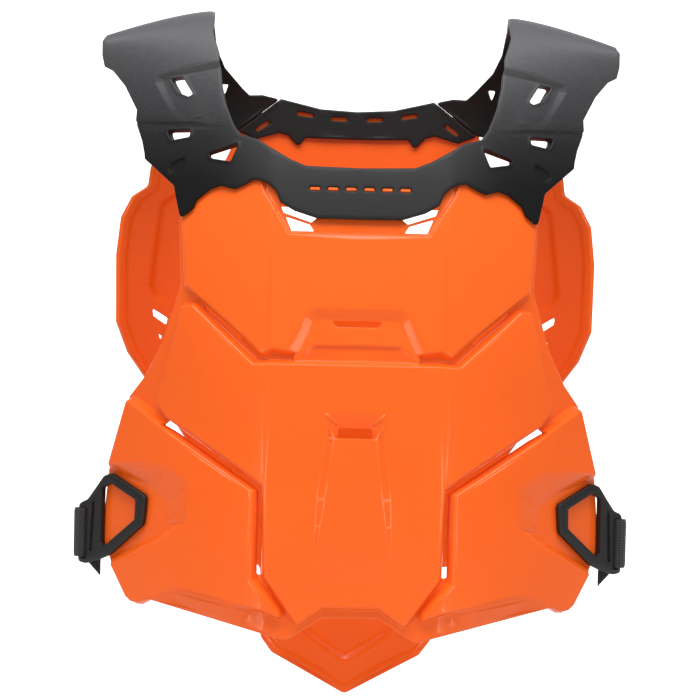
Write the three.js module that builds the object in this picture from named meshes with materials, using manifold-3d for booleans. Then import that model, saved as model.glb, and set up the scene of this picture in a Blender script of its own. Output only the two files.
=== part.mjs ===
// Roost deflector: a moulded chest and back guard worn over the shoulders.
// Millimetres, +X to the viewer's right, -Y to the front, +Z up. The origin lies midway
// between the undersides of the two shoulder pads, where the wearer's shoulders carry it.
// Each shell is drawn flat, as plates, bevels and cuts in plan coordinates (u, v) with a
// height w above the sheet, and the finished flat solid is then bent round the torso.
import * as THREE from "three";
import Module from "manifold-3d";

const wasm = await Module();
wasm.setup();
const { Manifold } = wasm;

// Torso that the shells are bent round.
const FRONT_REACH = 120;
const BACK_REACH = 116;
const COLUMN_HALF = 65;
const COLUMN_BOW = 2.5;
const FLANK_END = 160;
const CHEST_FLARE = { slope: 0.28, curl: 0.0024 };
const WAIST_FLARE = { slope: 0.36, curl: 0.0033 };
const FLARE_FROM = 150;
const FLARE_TO = 330;
const PEAK_HEIGHT = 290;
const CHEST_LEAN = { drop: 24, over: 170 };
const BELLY_LEAN = { drop: 12, over: 190 };
const BACK_HALF = 195;
const BACK_WRAP = 88;
const BACK_POWER = 2.3;

// Sheet thicknesses, plate heights and gaps.
const WALL = 2.5;
const SIDE_WALL = 1.7;
const PLATE_RISE = 6;
const WING_RISE = 8;
const PLATE_BEVEL = 2.6;
const POCKET_FLOOR = 2;
const TONGUE_RISE = 3.6;
const NOTCH_FLOOR = 2.2;
const HOOD_RISE = 5;
const YOKE_GAP = 0.8;
const YOKE_THICK = 3.2;
const BACK_GAP = 0.5;
const BACK_PANEL_RISE = 4;
const SEAM_GAP = 0.6;
const SLOT_WIDTH = 4.6;
const VENT_WIDTH = 4;

// Arch of the yoke over the shoulders.
const PAD_RISE = 10;
const PAD_TOP = -3.2;
const PAD_TOP_FROM = 118;
const PAD_TOP_FALL = 0.057;
const PAD_TOP_POWER = 1.35;
const ARCH_FRONT = -90;
const ARCH_TOP = 50;
const ARCH_BACK = 200;
const ARCH_BACK_HEIGHT = -80;

// Hook rings and webbing.
const RING_THICK = 5;
const RING_SEAT = POCKET_FLOOR + 0.6;
const RING_HEIGHT = -395;
const RING_EDGE = 207;
const STRAP_WIDE = 38;
const STRAP_MID = -407;
const STRAP_THICK = 1.8;
const STRAP_TAIL_DROP = 15;
const STRAP_GAP = 0.6;

// How closely the bent facets follow the curves.
const CURVE_ERROR = 0.45;
const ARCH_ERROR = 1.3;
const SHORTEST_EDGE = 9;
const bandsFrom = (from, to, count) =>
  Array.from({ length: count + 1 }, (_, i) => from + ((to - from) * i) / count);
const pairsOf = (values) => values.flatMap((value) => [-value, value]);
const FRONT_BANDS = [pairsOf([COLUMN_HALF, 110]), []];
const BACK_BANDS = [pairsOf([60, 110, 150]), []];
const YOKE_BANDS = [pairsOf([COLUMN_HALF]), bandsFrom(-90, 200, 10)];
const COLLAR_BANDS = [pairsOf([45]), []];
const FAR = 40;

const ORANGE = 0xff6a1e;
const BLACK = 0x2b2c2f;
const WEBBING = 0x17181a;

const smooth = (from, to, value) => {
  const t = THREE.MathUtils.clamp((value - from) / (to - from), 0, 1);
  return t * t * (3 - 2 * t);
};

// Curved sheets: each takes plan coordinates and gives a point in space.
const bow = (x, flare) => {
  const side = Math.abs(x);
  if (side <= COLUMN_HALF) return COLUMN_BOW * (side / COLUMN_HALF) ** 2;
  const out = Math.min(side, FLANK_END) - COLUMN_HALF;
  const curved = COLUMN_BOW + flare.slope * out + flare.curl * out * out;
  const straight = Math.max(0, side - FLANK_END) * (flare.slope + 2 * flare.curl * out);
  return curved + straight;
};

const frontSheet = (u, v) => {
  const low = smooth(FLARE_FROM, FLARE_TO, -v);
  const wrap = bow(u, CHEST_FLARE) * (1 - low) + bow(u, WAIST_FLARE) * low;
  const above = v + PEAK_HEIGHT;
  const lean = above > 0 ? CHEST_LEAN : BELLY_LEAN;
  const y = -FRONT_REACH + lean.drop * (above / lean.over) ** 2 + wrap;
  return new THREE.Vector3(u, y, v);
};

const backSheet = (u, v) => {
  const y = BACK_REACH - BACK_WRAP * (Math.abs(u) / BACK_HALF) ** BACK_POWER;
  return new THREE.Vector3(-u, y, v);
};

const normalOf = (sheet, u, v) => {
  const step = 0.5;
  const along = sheet(u + step, v).sub(sheet(u - step, v));
  const up = sheet(u, v + step).sub(sheet(u, v - step));
  return along.cross(up).normalize();
};

const bender = (sheet, lift = 0) => (u, v, w) =>
  sheet(u, v).addScaledVector(normalOf(sheet, u, v), w + lift);

const YOKE_LIFT = PLATE_RISE + YOKE_GAP;
const BACK_LAYER = -(WALL + BACK_GAP + YOKE_THICK);
const bendFront = bender(frontSheet);
const bendYokeFront = bender(frontSheet, YOKE_LIFT);
const bendBack = bender(backSheet);
const bendYokeBack = bender(backSheet, BACK_LAYER);

const padTop = (u) =>
  PAD_TOP - PAD_TOP_FALL * Math.max(0, Math.abs(u) - PAD_TOP_FROM) ** PAD_TOP_POWER;

const hermite = (from, leave, to, arrive, t) =>
  new THREE.Vector3()
    .addScaledVector(from, 2 * t ** 3 - 3 * t ** 2 + 1)
    .addScaledVector(leave, t ** 3 - 2 * t ** 2 + t)
    .addScaledVector(to, -2 * t ** 3 + 3 * t ** 2)
    .addScaledVector(arrive, t ** 3 - t ** 2);

// The yoke's v runs up the chest as a height, over the shoulder and down the back.
const yokeSheet = (u, v) => {
  if (v <= ARCH_FRONT) return bendYokeFront(u, v, 0);
  if (v >= ARCH_BACK) return bendYokeBack(-u, ARCH_BACK_HEIGHT - (v - ARCH_BACK), 0);
  const top = new THREE.Vector3(u, 0, padTop(u));
  const level = new THREE.Vector3(0, 1, 0);
  if (v < ARCH_TOP) {
    const span = ARCH_TOP - ARCH_FRONT;
    const start = bendYokeFront(u, ARCH_FRONT, 0);
    const leave = start.clone().sub(bendYokeFront(u, ARCH_FRONT - 1, 0));
    const t = (v - ARCH_FRONT) / span;
    return hermite(start, leave.multiplyScalar(span), top, level.multiplyScalar(span), t);
  }
  const span = ARCH_BACK - ARCH_TOP;
  const end = bendYokeBack(-u, ARCH_BACK_HEIGHT, 0);
  const arrive = bendYokeBack(-u, ARCH_BACK_HEIGHT - 1, 0).sub(end);
  const t = (v - ARCH_TOP) / span;
  return hermite(top, level.multiplyScalar(span), end, arrive.multiplyScalar(span), t);
};
const bendYoke = bender(yokeSheet);

// Outlines: half of a symmetric outline, from the centre line round to it again.
const mirror = (half) => half.map(([u, v]) => [-u, v]).reverse();
const whole = (half) => {
  const other = mirror(half).filter(([u]) => Math.abs(u) > 1e-6);
  return [...half, ...other];
};
const grow = (points, by) => {
  const area = THREE.ShapeUtils.area(points.map(([u, v]) => new THREE.Vector2(u, v)));
  const turn = Math.sign(area);
  const count = points.length;
  return points.map((point, i) => {
    const before = points[(i + count - 1) % count];
    const after = points[(i + 1) % count];
    const a = new THREE.Vector2(point[0] - before[0], point[1] - before[1]).normalize();
    const b = new THREE.Vector2(after[0] - point[0], after[1] - point[1]).normalize();
    const na = new THREE.Vector2(a.y, -a.x);
    const nb = new THREE.Vector2(b.y, -b.x);
    const mid = na.clone().add(nb).normalize();
    const reach = (turn * by) / Math.max(0.35, mid.dot(na));
    return [point[0] + mid.x * reach, point[1] + mid.y * reach];
  });
};
const shift = (points, u, v) => points.map((point) => [point[0] + u, point[1] + v]);

// A closed solid between a lower and an upper outline of the same number of points.
const loft = (lower, upper, low, high) => {
  const count = lower.length;
  const lowAt = (i) => (Array.isArray(low) ? low[i] : low);
  const highAt = (i) => (Array.isArray(high) ? high[i] : high);
  const vectors = (ring) => ring.map(([u, v]) => new THREE.Vector2(u, v));
  const ccw = THREE.ShapeUtils.area(vectors(upper)) > 0;
  const spots = [];
  lower.forEach(([u, v], i) => spots.push(u, v, lowAt(i)));
  upper.forEach(([u, v], i) => spots.push(u, v, highAt(i)));
  const faces = [];
  const add = (a, b, c) => (ccw ? faces.push(a, b, c) : faces.push(a, c, b));
  for (const [a, b, c] of THREE.ShapeUtils.triangulateShape(vectors(upper), [])) {
    faces.push(...(ccw ? [a, b, c] : [a, b, c]).map((i) => i + count));
  }
  for (const [a, b, c] of THREE.ShapeUtils.triangulateShape(vectors(lower), [])) {
    faces.push(a, c, b);
  }
  for (let i = 0; i < count; i += 1) {
    const j = (i + 1) % count;
    add(i, j, j + count);
    add(i, j + count, i + count);
  }
  const mesh = new wasm.Mesh({
    numProp: 3,
    vertProperties: new Float32Array(spots),
    triVerts: new Uint32Array(faces),
  });
  return new Manifold(mesh);
};
const prism = (points, low, high) => loft(points, points, low, high);
const plate = (top, rise, bevel, inset, drop) => {
  const upper = grow(top, -inset);
  const lower = grow(top, bevel - inset);
  return loft(lower, upper, -drop, rise - drop).add(prism(lower, -FAR, -drop));
};
const both = (points, make) => make(points).add(make(mirror(points)));

// Cuts every face that crosses one plan line, so that facets run in bands along it.
const slice = (spots, faces, axis, line) => {
  const near = 0.02;
  const sideOf = (i) => (Math.abs(spots[i][axis] - line) < near ? 0 : Math.sign(spots[i][axis] - line));
  const cuts = new Map();
  const cutOf = (a, b) => {
    if (sideOf(a) * sideOf(b) >= 0) return -1;
    const key = a < b ? `${a}_${b}` : `${b}_${a}`;
    if (!cuts.has(key)) {
      const [p, q] = a < b ? [spots[a], spots[b]] : [spots[b], spots[a]];
      const t = (line - p[axis]) / (q[axis] - p[axis]);
      cuts.set(key, spots.length);
      spots.push([0, 1, 2].map((k) => p[k] + (q[k] - p[k]) * t));
    }
    return cuts.get(key);
  };
  return faces.flatMap(([a, b, c]) => splitFace([a, b, c], cutOf(a, b), cutOf(b, c), cutOf(c, a), spots));
};

const flatDistance = (p, q) => Math.hypot(p[0] - q[0], p[1] - q[1], p[2] - q[2]);

// Faces that replace one face, given the new point on each of its edges, or -1 for none.
const splitFace = ([a, b, c], ab, bc, ca, spots) => {
  const cuts = [ab, bc, ca].filter((i) => i >= 0).length;
  if (cuts === 0) return [[a, b, c]];
  if (cuts === 3) return [[a, ab, ca], [ab, b, bc], [ca, bc, c], [ab, bc, ca]];
  let [p, q, r, pq, qr, rp] = [a, b, c, ab, bc, ca];
  const turnsNeeded = cuts === 1 ? () => pq < 0 : () => rp >= 0;
  while (turnsNeeded()) [p, q, r, pq, qr, rp] = [q, r, p, qr, rp, pq];
  if (cuts === 1) return [[p, pq, r], [pq, q, r]];
  if (flatDistance(spots[p], spots[qr]) < flatDistance(spots[pq], spots[r])) {
    return [[p, pq, qr], [pq, q, qr], [p, qr, r]];
  }
  return [[p, pq, r], [pq, q, qr], [pq, qr, r]];
};

// Bends a flat solid: it is cut in bands along the given plan lines, and edges that still
// leave the curve are halved.
const bend = (solid, bendTo, lines, error = CURVE_ERROR) => {
  const flat = solid.getMesh();
  const spots = [];
  for (let i = 0; i < flat.numVert; i += 1) {
    const at = i * flat.numProp;
    spots.push(Array.from(flat.vertProperties.slice(at, at + 3)));
  }
  let faces = [];
  for (let i = 0; i < 3 * flat.numTri; i += 3) faces.push(Array.from(flat.triVerts.slice(i, i + 3)));
  lines.forEach((values, axis) => {
    for (const line of values) faces = slice(spots, faces, axis, line);
  });
  const bent = spots.map(([u, v, w]) => bendTo(u, v, w));
  const middles = new Map();
  const middleOf = (a, b) => {
    const key = a < b ? `${a}_${b}` : `${b}_${a}`;
    if (middles.has(key)) return middles.get(key);
    const [p, q] = [spots[a], spots[b]];
    const mid = [0, 1, 2].map((k) => (p[k] + q[k]) / 2);
    const at = bendTo(...mid);
    const chord = bent[a].clone().add(bent[b]).multiplyScalar(0.5);
    let found = -1;
    const long = bent[a].distanceTo(bent[b]) > SHORTEST_EDGE;
    if (long && chord.distanceTo(at) > error) {
      found = spots.length;
      spots.push(mid);
      bent.push(at);
    }
    middles.set(key, found);
    return found;
  };
  for (let round = 0; round < 9; round += 1) {
    const next = faces.flatMap(([a, b, c]) =>
      splitFace([a, b, c], middleOf(a, b), middleOf(b, c), middleOf(c, a), spots),
    );
    const same = next.length === faces.length;
    faces = next;
    if (same) break;
  }
  const geometry = new THREE.BufferGeometry();
  const numbers = new Float32Array(bent.flatMap((point) => [point.x, point.y, point.z]));
  geometry.setAttribute("position", new THREE.BufferAttribute(numbers, 3));
  geometry.setIndex(faces.flat());
  return geometry;
};

// Front shell, right half of each outline, as distances from the centre line and heights.
const FRONT_OUTLINE = [
  [0, -136], [46, -136], [76, -119], [108, -124], [131, -152], [136.5, -166],
  [134, -215], [146.8, -257.7], [160.6, -284.7], [172.5, -300.5], [187, -357],
  [191.5, -404], [190, -416], [186, -425.5], [169.5, -455.5], [164, -459.8], [159, -459.6],
  [148.5, -454.3], [58, -477.4], [48, -479.8], [21.5, -462.3], [0, -461.8],
];
const CHEST_PLATE = [
  [52.5, -176.3], [70, -145], [76, -123], [106, -129], [126, -154], [131.5, -166],
  [127.5, -215.5], [69, -265.5], [63, -261.5], [52, -263], [36.5, -263], [0, -263],
];
const CHEST_NOTCH = [[0, -230.8], [32.5, -230.8], [39.4, -236.3], [53, -266], [53, -275], [0, -275]];
const TONGUE = [[0, -259], [34.5, -259], [43, -270.6], [43, -275], [0, -275]];
const LOWER_PLATE = [
  [0, -272.6], [64, -272.6], [75.5, -273.2], [121, -230.4], [129, -231.2],
  [135, -257], [147.5, -303], [138.5, -315.5], [66, -363.5], [64.5, -431.5],
  [40, -466.6], [21, -452.8], [0, -452.8],
];
const WING_PLATE = [
  [169, -302], [144, -320], [133, -328.4], [72.6, -368], [72.6, -434], [50, -463],
  [66, -456], [86, -452], [131.5, -443.6], [145, -451.5], [158, -457], [163, -456.3],
  [167, -453], [182.5, -424], [187, -414], [188.3, -404], [184, -357],
];
const WING_POCKET_TOP = [
  [137, -352], [119.5, -363.5], [120.3, -393], [136, -405.6], [190, -436], [230, -440],
  [230, -340], [184, -352],
];
const WING_POCKET_FLOOR = [
  [150, -369], [139.5, -379], [138.8, -397], [148, -405], [187, -428], [230, -434],
  [230, -346], [184, -357],
];
const SIDE_SLOT_PATH = [[144, -318.4], [69.4, -366], [68.6, -433]];
const UPPER_VENT_PATH = [[114, -230.4], [86.5, -255]];
const WINDOW = [[59.5, -152], [31, -162], [31, -173.6], [50.5, -174]];
const CHEST_SLOT = [[0, -240], [18.6, -240], [15.6, -244.4], [0, -244.4]];
const SCOOP_RAMP_TOP = [[0, -307.6], [23, -307.6], [15.5, -328], [0, -328]];
const SCOOP_RAMP_FLOOR = [[0, -318.6], [12.6, -318.6], [12.6, -327.4], [0, -327.4]];
const SCOOP_SLOT = [[0, -319.6], [12, -319.6], [13.4, -327], [0, -327]];
const HOOD_FOOT = [[0, -327.2], [21.5, -327.2], [28, -372], [28.2, -392], [29.5, -437], [0, -437]];
const HOOD_TOP = [[0, -327.2], [16, -327.2], [20.5, -372], [24, -392], [29.4, -436.8], [0, -436.8]];
const HOOD_HEIGHTS = [1, 1, 0.62, 0.45, 0, 0];

const ribbonAround = (path, width) => {
  const left = [];
  const right = [];
  path.forEach((point, i) => {
    const before = path[Math.max(0, i - 1)];
    const after = path[Math.min(path.length - 1, i + 1)];
    const inward = new THREE.Vector2(point[0] - before[0], point[1] - before[1]);
    const outward = new THREE.Vector2(after[0] - point[0], after[1] - point[1]);
    if (i === 0) inward.copy(outward);
    if (i === path.length - 1) outward.copy(inward);
    inward.normalize();
    outward.normalize();
    const along = inward.clone().add(outward).normalize();
    const reach = width / 2 / Math.max(0.3, along.dot(inward));
    left.push([point[0] - along.y * reach, point[1] + along.x * reach]);
    right.push([point[0] + along.y * reach, point[1] - along.x * reach]);
  });
  return [...left, ...right.reverse()];
};

const frontLayer = (inset, drop) => {
  const base = prism(whole(FRONT_OUTLINE), -FAR, -drop);
  const mirrored = (half) => [...half, ...mirror(half.filter(([u]) => u > 1e-6))];
  let chest = plate(mirrored(CHEST_PLATE), PLATE_RISE, PLATE_BEVEL, inset, drop);
  const notch = whole(CHEST_NOTCH);
  const notchFloor = NOTCH_FLOOR - drop;
  const slant = (PLATE_RISE - NOTCH_FLOOR) * 1.4;
  const notchLow = grow(notch, inset - slant);
  chest = chest.subtract(loft(notchLow, grow(notch, inset + 0.1), notchFloor, PLATE_RISE - drop + 0.1));
  const tongue = plate(whole(TONGUE), TONGUE_RISE, 1.6, inset, drop);
  let lower = plate(whole(LOWER_PLATE), PLATE_RISE, PLATE_BEVEL, inset, drop);
  const hoodHigh = HOOD_HEIGHTS.map((share) => PLATE_RISE - drop + share * HOOD_RISE + 0.02);
  const hoodHeights = [...hoodHigh, ...hoodHigh.slice(1, -1).reverse()];
  const hoodTop = grow(whole(HOOD_TOP), -inset);
  const hoodFoot = grow(whole(HOOD_FOOT), -inset);
  const ramp = loft(
    grow(whole(SCOOP_RAMP_FLOOR), inset),
    grow(whole(SCOOP_RAMP_TOP), inset + 0.1),
    PLATE_RISE - drop - 3.4,
    PLATE_RISE - drop + 0.1,
  );
  lower = lower.subtract(ramp);
  const hood = loft(hoodFoot, hoodTop, -drop, hoodHeights);
  lower = lower.add(hood);
  const wings = both(WING_PLATE, (points) => plate(points, WING_RISE, PLATE_BEVEL, inset, drop));
  const pocket = (sign) => {
    const side = (points) => (sign > 0 ? points : mirror(points));
    return loft(
      side(grow(WING_POCKET_FLOOR, inset)),
      side(grow(WING_POCKET_TOP, inset)),
      POCKET_FLOOR - drop,
      WING_RISE - drop + 0.2,
    );
  };
  const hollowed = wings.subtract(pocket(1)).subtract(pocket(-1));
  return base.add(chest).add(tongue).add(lower).add(hollowed);
};

const cutThrough = (solid, shapes) =>
  shapes.reduce((left, shape) => left.subtract(prism(shape, -2 * FAR, FAR)), solid);

// Clears what lies at the very bottom of a drawn layer, over the whole of its plan.
const slabUnder = (points) => {
  const reach = FAR + Math.max(...points.flat().map(Math.abs));
  const square = [[-reach, -reach], [reach, -reach], [reach, reach], [-reach, reach]];
  return prism(square, -2 * FAR, 1 - FAR);
};

const frontShell = () => {
  const trimmed = whole(FRONT_OUTLINE);
  const outer = frontLayer(0, 0).intersect(prism(trimmed, -FAR, FAR));
  const inner = frontLayer(SIDE_WALL, WALL).add(slabUnder(trimmed));
  const slots = [SIDE_SLOT_PATH].map((path) => ribbonAround(path, SLOT_WIDTH));
  const vents = [UPPER_VENT_PATH].map((path) => ribbonAround(path, VENT_WIDTH));
  const pairs = [...slots, ...vents, WINDOW].flatMap((shape) => [shape, mirror(shape)]);
  const centre = [whole(CHEST_SLOT), whole(SCOOP_SLOT)];
  return cutThrough(outer.subtract(inner), [...pairs, ...centre]);
};

// Back shell.
const BACK_OUTLINE = [
  [0, -70], [30, -68.4], [60, -63.6], [90, -76], [95, -84], [99, -101], [107, -112], [150, -113],
  [164, -116], [166, -134], [178, -143],
  [186, -160], [189, -190], [188, -243], [179, -267], [166, -286], [128, -342],
  [112, -382], [112, -430], [71, -437], [68, -480], [69.5, -495], [60, -508], [0, -541],
];
const BACK_PANEL = [
  [0, -104], [62, -104], [100, -118], [122, -120], [155, -148], [162, -214], [158, -221], [144, -229],
  [138, -252], [112, -322], [84, -372], [56, -436], [48, -474], [30, -492], [0, -512],
];
const BACK_VENT = [[162, -231], [149, -239], [150, -245], [161, -237.5]];
const BACK_SMALL_VENT = [[157, -251], [153, -253.5], [155, -257]];
const BACK_WINDOW = [[30, -146], [70, -146], [67, -166], [33, -166]];
const BACK_STRAP_SLOT = { from: 93.5, to: 103.5, top: -386.5, bottom: -427.5 };

const backLayer = (inset, drop) => {
  const base = prism(whole(BACK_OUTLINE), -FAR, -drop);
  return base.add(plate(whole(BACK_PANEL), BACK_PANEL_RISE, PLATE_BEVEL, inset, drop));
};

const oblong = ({ from, to, top, bottom }) => [[from, bottom], [to, bottom], [to, top], [from, top]];

const backShell = () => {
  const trimmed = whole(BACK_OUTLINE);
  const outer = backLayer(0, 0).intersect(prism(trimmed, -FAR, FAR));
  const inner = backLayer(SIDE_WALL, WALL).add(slabUnder(trimmed));
  const shapes = [BACK_VENT, BACK_SMALL_VENT, BACK_WINDOW, oblong(BACK_STRAP_SLOT)];
  return cutThrough(outer.subtract(inner), shapes.flatMap((shape) => [shape, mirror(shape)]));
};

// Yoke: the front collar and both shoulder pads in one moulding.
const YOKE_RIGHT = [
  [0, -165.7], [31, -165.5], [48.5, -160], [58.8, -154], [62.5, -145.5], [66.1, -140.8],
  [70.5, -138.3], [77, -137.3], [83.5, -141], [91, -144.5], [101.5, -141.8], [109, -144.5],
  [119, -152.5], [121.5, -159], [130.5, -166], [134.5, -149], [136, -141.6], [158.9, -121],
  [159.4, -116.3], [161.5, -107], [166, -95], [166, -83], [177, -60.7], [187.5, -43],
  [195, -35], [198, -16], [199, 12], [199, 50], [195, 78], [180, 105], [158, 130],
  [138, 150], [129, 166], [124, 184], [117, 199], [108, 208], [99.3, 206.5], [64, 178.5], [78.5, 175.3],
  [89, 176], [94.8, 170], [109, 150], [115, 128], [116, 90], [114, 50], [113, 12],
  [113, -7], [111, -17], [106.5, -34], [106.3, -43], [104.5, -59], [99.8, -79],
  [93, -95.5], [88, -103], [75, -106.7], [67, -112], [52.5, -121.5], [40.5, -126.4],
  [0, -127.5],
];
const PAD_VENTS = [
  [[143, -56], [134, -55], [124.5, -71], [127.5, -73], [136, -69]],
  [[142, -99.5], [124, -99.5], [125, -105], [139, -107.5]],
  [[111, -118], [88, -109.5], [94, -124], [108, -121.5]],
  [[112.5, 167], [106, 166.5], [109.5, 179]],
];
const COLLAR_DASH = { count: 6, pitch: 13.4, length: 8.6, height: 3, at: -143.5 };

const dash = (length, height) => [
  [-length / 2, 0], [-length / 2 + height / 2, -height / 2], [length / 2 - height / 2, -height / 2],
  [length / 2, 0], [length / 2 - height / 2, height / 2], [-length / 2 + height / 2, height / 2],
];
const turned = (points, angle) => {
  const [c, s] = [Math.cos(angle), Math.sin(angle)];
  return points.map(([u, v]) => [c * u - s * v, s * u + c * v]);
};

const collarYoke = () => {
  const sheet = prism(whole(YOKE_RIGHT), 0, YOKE_THICK);
  const { count, pitch, length, height, at } = COLLAR_DASH;
  const dashes = [];
  for (let i = 0; i < count; i += 1) {
    dashes.push(shift(dash(length, height), (i - (count - 1) / 2) * pitch, at));
  }
  const vents = PAD_VENTS.flatMap((shape) => [shape, mirror(shape)]);
  return cutThrough(sheet, [...dashes, ...vents]);
};

// Back collar: lies on the body side of the back shell.
const BACK_COLLAR = [
  [0, -67.6], [30, -66], [63.4 - SEAM_GAP, -59], [98.8 - SEAM_GAP, -86.8], [83.5, -92.3],
  [64, -86.5], [56.5, -88.3], [50, -95.2], [47, -96], [42.5, -89.8], [0, -90.2],
];
const BACK_DASHES = [
  { u: 14.5, v: -73.8, angle: 0.03 },
  { u: 43, v: -70.8, angle: 0.13 },
  { u: 78, v: -81.5, angle: -0.6 },
];
const BACK_DASH = { length: 14, height: 3.2 };

const backCollar = () => {
  const sheet = prism(whole(BACK_COLLAR), 0, YOKE_THICK);
  const slots = BACK_DASHES.map(({ u, v, angle }) =>
    shift(turned(dash(BACK_DASH.length, BACK_DASH.height), angle), u, v),
  );
  return cutThrough(sheet, slots.flatMap((shape) => [shape, mirror(shape)]));
};

// Hook ring in its own plane: the plane of the straight flank at the ring's height. Its inner
// end stays in the pocket, and its bars and slots are placed from its outer edge.
const fromEdge = (inward, v) => [RING_EDGE - inward, v];
const RING_OUTLINE = [
  fromEdge(26, -359.5), [153, -375.5], [155, -397.5], fromEdge(26, -422.6), fromEdge(17, -427),
  fromEdge(6, -431), [RING_EDGE, -430], [RING_EDGE, -384.4], fromEdge(7, -381),
  fromEdge(14, -371), fromEdge(20, -362),
];
const RING_OPENING = [
  fromEdge(26.5, -367.2), [160.3, -378.7], [160.8, -394], fromEdge(23, -415.3),
  fromEdge(19, -415), fromEdge(19.5, -371),
];
const RING_SLOT = [
  fromEdge(11.8, -382.5), fromEdge(14.6, -378), fromEdge(12.4, -420), fromEdge(9.6, -422),
];
const RING_REEVE = { from: RING_EDGE - 7.8, to: RING_EDGE - 3.8, top: -387.3, bottom: -426.7 };

const ringFrame = (side) => {
  const [u, v] = [FLANK_END, RING_HEIGHT];
  const centre = frontSheet(u, v);
  const along = frontSheet(u + 1, v).sub(centre);
  const up = frontSheet(u, v + 1).sub(frontSheet(u, v - 1)).multiplyScalar(0.5);
  const out = along.clone().cross(up).normalize();
  return (pu, pv, pw) => {
    const point = centre.clone().addScaledVector(along, pu - u).addScaledVector(up, pv - v);
    point.addScaledVector(out, pw);
    point.x *= side;
    return point;
  };
};

const flatToSpace = (solid, place, flip) => {
  const flat = solid.getMesh();
  const numbers = [];
  for (let i = 0; i < flat.numVert; i += 1) {
    const at = i * flat.numProp;
    const point = place(...flat.vertProperties.slice(at, at + 3));
    numbers.push(point.x, point.y, point.z);
  }
  const faces = Array.from(flat.triVerts);
  if (flip) {
    for (let i = 0; i < faces.length; i += 3) [faces[i], faces[i + 1]] = [faces[i + 1], faces[i]];
  }
  const geometry = new THREE.BufferGeometry();
  geometry.setAttribute("position", new THREE.BufferAttribute(new Float32Array(numbers), 3));
  geometry.setIndex(faces);
  return geometry;
};

const hookRing = () => {
  const edge = 1.2;
  const outline = RING_OUTLINE;
  const lower = loft(outline, outline, RING_SEAT, RING_SEAT + RING_THICK - edge);
  const upper = loft(outline, grow(outline, -edge), RING_SEAT + RING_THICK - edge, RING_SEAT + RING_THICK);
  return cutThrough(lower.add(upper), [RING_OPENING, RING_SLOT, oblong(RING_REEVE)]);
};

// Webbing: a flat strip along a path seen from above, with a pointed tail at its front end.
// The tail's turn is measured from the ring's reeving slot, the route round the waist in
// shares of the ring's outer edge and the back's reach.
const TAIL_TURN = [
  { inside: 4.6, below: 7.2 },
  { inside: 2.4, below: 4.2 },
  { inside: 0.4, below: 1.4 },
];
const WAIST_ROUTE = [
  { across: 1.024, behind: 0.19 },
  { across: 1, behind: 0.397 },
  { across: 0.932, behind: 0.603 },
  { across: 0.812, behind: 0.784 },
  { across: 0.657, behind: 0.888 },
];
const STRAP_LEAD = 12.5;
const STRAP_ANCHOR = 10.5;
const strapPath = (place, v) => {
  const ring = (u, w) => {
    const point = place(u, v, w);
    return [point.x, point.y];
  };
  const reeve = (RING_REEVE.from + RING_REEVE.to) / 2;
  const clear = STRAP_THICK / 2 + STRAP_GAP;
  const mid = RING_SEAT + RING_THICK / 2;
  const face = RING_SEAT + RING_THICK;
  const under = TAIL_TURN.map(({ inside, below }) => ring(reeve - inside, RING_SEAT - below));
  const over = [
    ring(reeve, mid), ring(reeve, face + STRAP_GAP), ring(reeve + clear, face + clear),
    ring(RING_EDGE - STRAP_GAP, face + clear), ring(RING_EDGE + clear, face + STRAP_GAP),
    ring(RING_EDGE + clear, mid), ring(RING_EDGE + 2 * clear, RING_SEAT - STRAP_THICK),
  ];
  const at = (u, w) => {
    const point = bendBack(-u, v, w);
    return [point.x, point.y];
  };
  const route = WAIST_ROUTE.map(({ across, behind }) => [across * RING_EDGE, behind * BACK_REACH]);
  const { from, to } = BACK_STRAP_SLOT;
  const inside = from - STRAP_ANCHOR;
  const anchored = [
    at(to + STRAP_LEAD, clear + STRAP_GAP), at(to + clear, clear), at(to - clear, STRAP_GAP),
    at(from + clear, -WALL - STRAP_GAP), at(from - clear, -WALL - clear), at(inside, -WALL - clear),
  ];
  return [...under, ...over, ...route, ...anchored];
};

const strap = (side) => {
  const place = ringFrame(1);
  const high = STRAP_MID + STRAP_WIDE / 2;
  const low = STRAP_MID - STRAP_WIDE / 2;
  const levels = [low, high].map((v) => ribbonAround(strapPath(place, v), STRAP_THICK));
  const count = levels[0].length / 2;
  const tail = TAIL_TURN.map((_, i) => Math.max(0, 1 - i / 2));
  const spots = [];
  for (let i = 0; i < count; i += 1) {
    const drop = i < tail.length ? tail[i] * STRAP_TAIL_DROP : 0;
    for (const at of [i, 2 * count - 1 - i]) {
      const [[lowX, lowY], [highX, highY]] = levels.map((sides) => sides[at]);
      spots.push(side * lowX, lowY, low - drop, side * highX, highY, high);
    }
  }
  const faces = [];
  const quad = (a, b, c, d) => faces.push(a, b, c, a, c, d);
  for (let i = 0; i + 1 < count; i += 1) {
    const [a, b] = [4 * i, 4 * i + 4];
    quad(a, b, b + 1, a + 1);
    quad(a + 2, a + 3, b + 3, b + 2);
    quad(a, a + 2, b + 2, b);
    quad(a + 1, b + 1, b + 3, a + 3);
  }
  const last = 4 * (count - 1);
  quad(0, 1, 3, 2);
  quad(last, last + 2, last + 3, last + 1);
  const geometry = new THREE.BufferGeometry();
  geometry.setAttribute("position", new THREE.BufferAttribute(new Float32Array(spots), 3));
  if (side > 0) {
    for (let i = 0; i < faces.length; i += 3) [faces[i], faces[i + 1]] = [faces[i + 1], faces[i]];
  }
  geometry.setIndex(faces);
  return geometry;
};

const shellMaterial = new THREE.MeshStandardMaterial({ color: ORANGE, roughness: 0.25, metalness: 0 });
const trimMaterial = new THREE.MeshStandardMaterial({ color: BLACK, roughness: 0.55, metalness: 0 });
const webMaterial = new THREE.MeshStandardMaterial({ color: WEBBING, roughness: 0.9, metalness: 0 });

const group = new THREE.Group();
group.position.set(0, 0, PAD_RISE);
const addPiece = (name, geometry, material) => {
  const mesh = new THREE.Mesh(geometry, material);
  mesh.name = name;
  group.add(mesh);
};

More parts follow.
